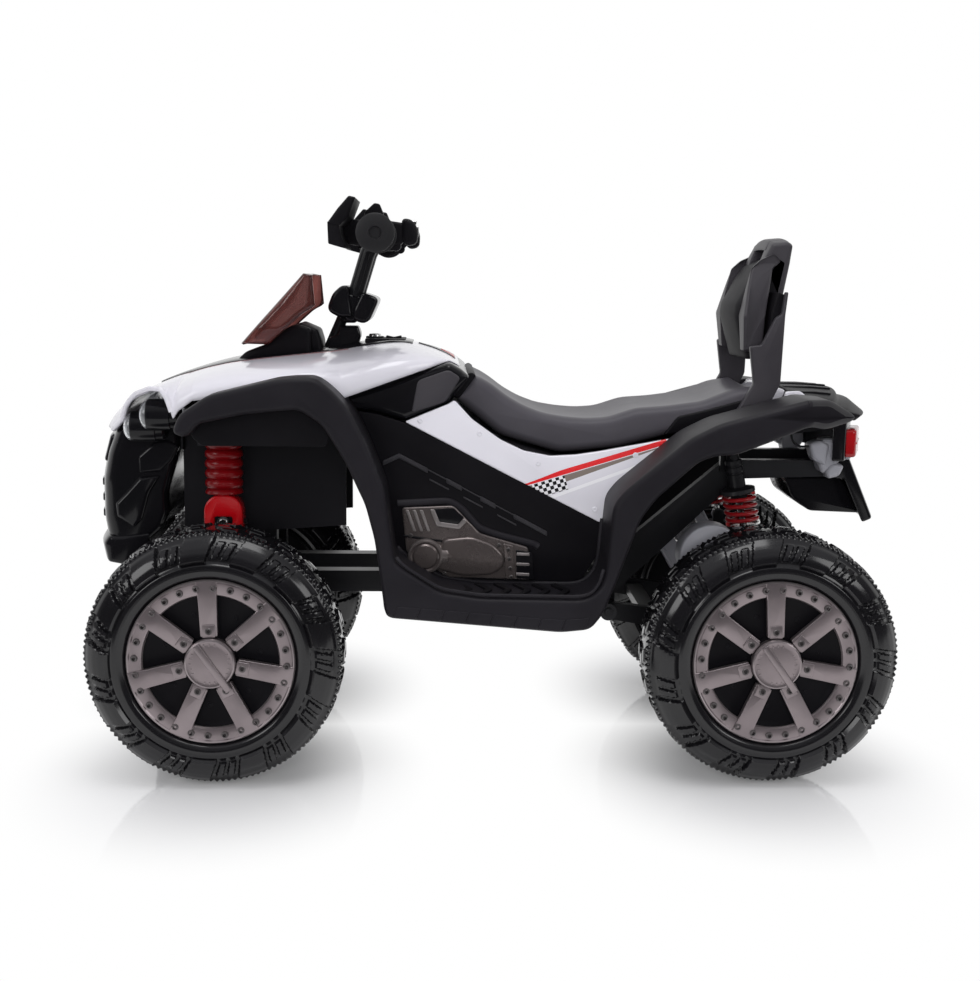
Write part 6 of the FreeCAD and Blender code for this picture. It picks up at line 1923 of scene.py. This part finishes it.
@dataclass(frozen=True)
class Studio:
    """Camera, pale floor, soft lamps and the world."""

    focal_px: float = 1410.73
    image_px: float = 981.0
    sensor: float = 36.0
    place: Point = (-0.0760, -2.0424, 0.6615)
    yaw: float = 0.0376
    pitch: float = 0.149
    roll: float = 0.0116
    aim: Point = (0.0, 0.0, 0.4)

    def camera(self) -> None:
        """Camera of the photo, from its solved place and angles."""
        data = bpy.data.cameras.new("photo_camera")
        data.sensor_fit = "AUTO"
        data.sensor_width = self.sensor
        data.lens = self.focal_px * self.sensor / self.image_px
        data.clip_end = 50.0
        made = bpy.data.objects.new("photo_camera", data)
        cos_p, sin_p = math.cos(self.pitch), math.sin(self.pitch)
        ahead = np.array([math.sin(self.yaw) * cos_p, math.cos(self.yaw) * cos_p, -sin_p])
        right = np.array([math.cos(self.yaw), -math.sin(self.yaw), 0.0])
        over = np.cross(right, ahead)
        cos_r, sin_r = math.cos(self.roll), math.sin(self.roll)
        matrix = np.eye(4)
        matrix[:3, 0] = cos_r * right + sin_r * over
        matrix[:3, 1] = -sin_r * right + cos_r * over
        matrix[:3, 2] = -ahead
        matrix[:3, 3] = self.place
        made.matrix_world = Matrix(matrix.tolist())
        bpy.context.scene.collection.objects.link(made)
        bpy.context.scene.camera = made

    def floor(self) -> None:
        """Pale glossy floor that fades into the white background away from the wheels."""
        points = np.array(
            [[-6000, -1150, 0], [6000, -1150, 0], [6000, 6000, 0], [-6000, 6000, 0]], float) * MM
        mesh = bpy.data.meshes.new("floor")
        mesh.from_pydata(points.tolist(), [], [(0, 1, 2, 3)])
        paint = Paint("pale_floor")
        tone = paint.noise(3.0).ramp(0.2, 0.8)
        paint.set(Base_Color=paint.mix(tone, (0.86, 0.86, 0.87), (0.88, 0.88, 0.885)))
        paint.set(Roughness=0.05 + paint.noise(8.0) * 0.03, Specular_IOR_Level=0.7)
        reach = abs(abs(paint.axis("X")) - HALF_WHEELBASE * MM)
        deep = abs(abs(paint.axis("Y")) - 0.20)
        square = reach * reach * 1.5 + deep * deep
        away = square.maths("SQRT", square)
        white = away.ramp(0.10, 0.36) * 0.92 + 0.08
        path = paint.node("ShaderNodeLightPath").outputs
        seen = Value(paint, path["Is Camera Ray"]) + Value(paint, path["Is Glossy Ray"])
        seen = seen + Value(paint, path["Is Transmission Ray"])
        share = white * seen.maths("MINIMUM", seen, 1.0)
        glow = paint.node(
            "ShaderNodeEmission", None, {"Color": (1.0, 1.0, 1.0), "Strength": 1.0}).outputs[0]
        both = paint.node(
            "ShaderNodeMixShader", None, {0: share, 1: paint.shader.outputs[0], 2: glow}).outputs[0]
        paint.feed(paint.output.inputs["Surface"], both)
        mesh.materials.append(paint.material)
        made = bpy.data.objects.new("floor", mesh)
        bpy.context.scene.collection.objects.link(made)

    def world(self) -> None:
        """White backdrop for seen, mirrored and passing rays; softer light from above and behind."""
        world = bpy.data.worlds.new("studio_world")
        world.use_nodes = True
        nodes = Nodes(world.node_tree)
        path = nodes.node("ShaderNodeLightPath").outputs
        way = nodes.node("ShaderNodeTexCoord").outputs["Generated"]
        split = nodes.node("ShaderNodeSeparateXYZ", None, {0: way}).outputs
        behind = Value(nodes, split["Y"]).ramp(-0.10, 0.30)
        above = Value(nodes, split["Z"]).ramp(0.25, 0.85)
        mirrored = behind.maths("MAXIMUM", path["Is Glossy Ray"], path["Is Transmission Ray"])
        seen = behind.maths("MAXIMUM", path["Is Camera Ray"], mirrored * behind)
        soft = behind.maths("MAXIMUM", behind, above) * 0.5 + 0.08
        lit = nodes.node("ShaderNodeBackground", None, {0: (0.96, 0.96, 1.0), 1: soft}).outputs[0]
        shown = nodes.node("ShaderNodeBackground", None, {0: (1.0, 1.0, 1.0), 1: 1.0}).outputs[0]
        mix = nodes.node("ShaderNodeMixShader", None, {0: seen, 1: lit, 2: shown}).outputs[0]
        nodes.node("ShaderNodeOutputWorld", None, {0: mix})
        bpy.context.scene.world = world

    def lamp(self, name: str, place: Point, size: float, power: float) -> Any:
        """One soft square lamp aimed at the middle of the bike."""
        data = bpy.data.lights.new(name, "AREA")
        data.size = size
        data.energy = power
        made = bpy.data.objects.new(name, data)
        toward = Vector(self.aim) - Vector(place)
        made.rotation_euler = toward.to_track_quat("-Z", "Y").to_euler()
        made.location = place
        bpy.context.scene.collection.objects.link(made)
        return made

    def build(self) -> None:
        """Sets the stage."""
        self.camera()
        self.floor()
        self.world()
        self.lamp("top_lamp", (0.0, -0.5, 2.5), 1.2, 17.0)
        self.lamp("front_lamp", (-2.7, -2.1, 1.8), 1.3, 20.0)
        self.lamp("rear_lamp", (2.7, -2.1, 1.8), 1.3, 18.0)
        self.lamp("near_lamp", (-0.2, -3.2, 0.9), 1.6, 48.0).visible_glossy = False
        view = bpy.context.scene.view_settings
        view.view_transform = "Standard"


@dataclass(frozen=True)
class Dressing:
    """Materials for the construction nodes that stay in view."""

    finishes: tuple[tuple[Finish, tuple[str, ...]], ...] = (
        (Finish.BLACK_STEEL, ("chassis_frame", "front_axle_beam", "knuckle_left", "knuckle_right",
                              "tie_rod", "steering_shaft", "rear_swing_arm")),
        (Finish.MATTE, ("body_tub", "wheel_well_panels", "battery", "control_box", "foot_pedal")),
        (Finish.STEEL, ("rear_axle", "rear_shock_rods")),
        (Finish.SHOCK, ("front_shock_tubes",)),
    )

    def apply(self) -> None:
        """Gives each node its material and smooth shading with sharp edges kept."""
        for finish, names in self.finishes:
            for name in names:
                mesh = bpy.data.objects[name].data
                mesh.materials.clear()
                mesh.materials.append(finish.material())
                mesh.shade_smooth()
                mesh.set_sharp_from_angle(angle=math.radians(32.0))


def write_size() -> None:
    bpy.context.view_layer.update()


def main() -> None:
    """Builds the whole scene."""
    logging.basicConfig(level=logging.INFO, format="%(name)s %(message)s")
    Studio().build()
    tail = Tail()
    tail.wires()
    for end, x in (("front", -HALF_WHEELBASE), ("rear", HALF_WHEELBASE)):
        for side in Side:
            Wheel(end, side, x).build()
    for side in Side:
        FenderSurround(side).build()
    for group in (Hood(), Flanks(), FrontEnd(), Saddle(), Steering(), Suspension(), tail):
        group.build()
    Dressing().apply()
    write_size()


if __name__ == "__main__":
    main()
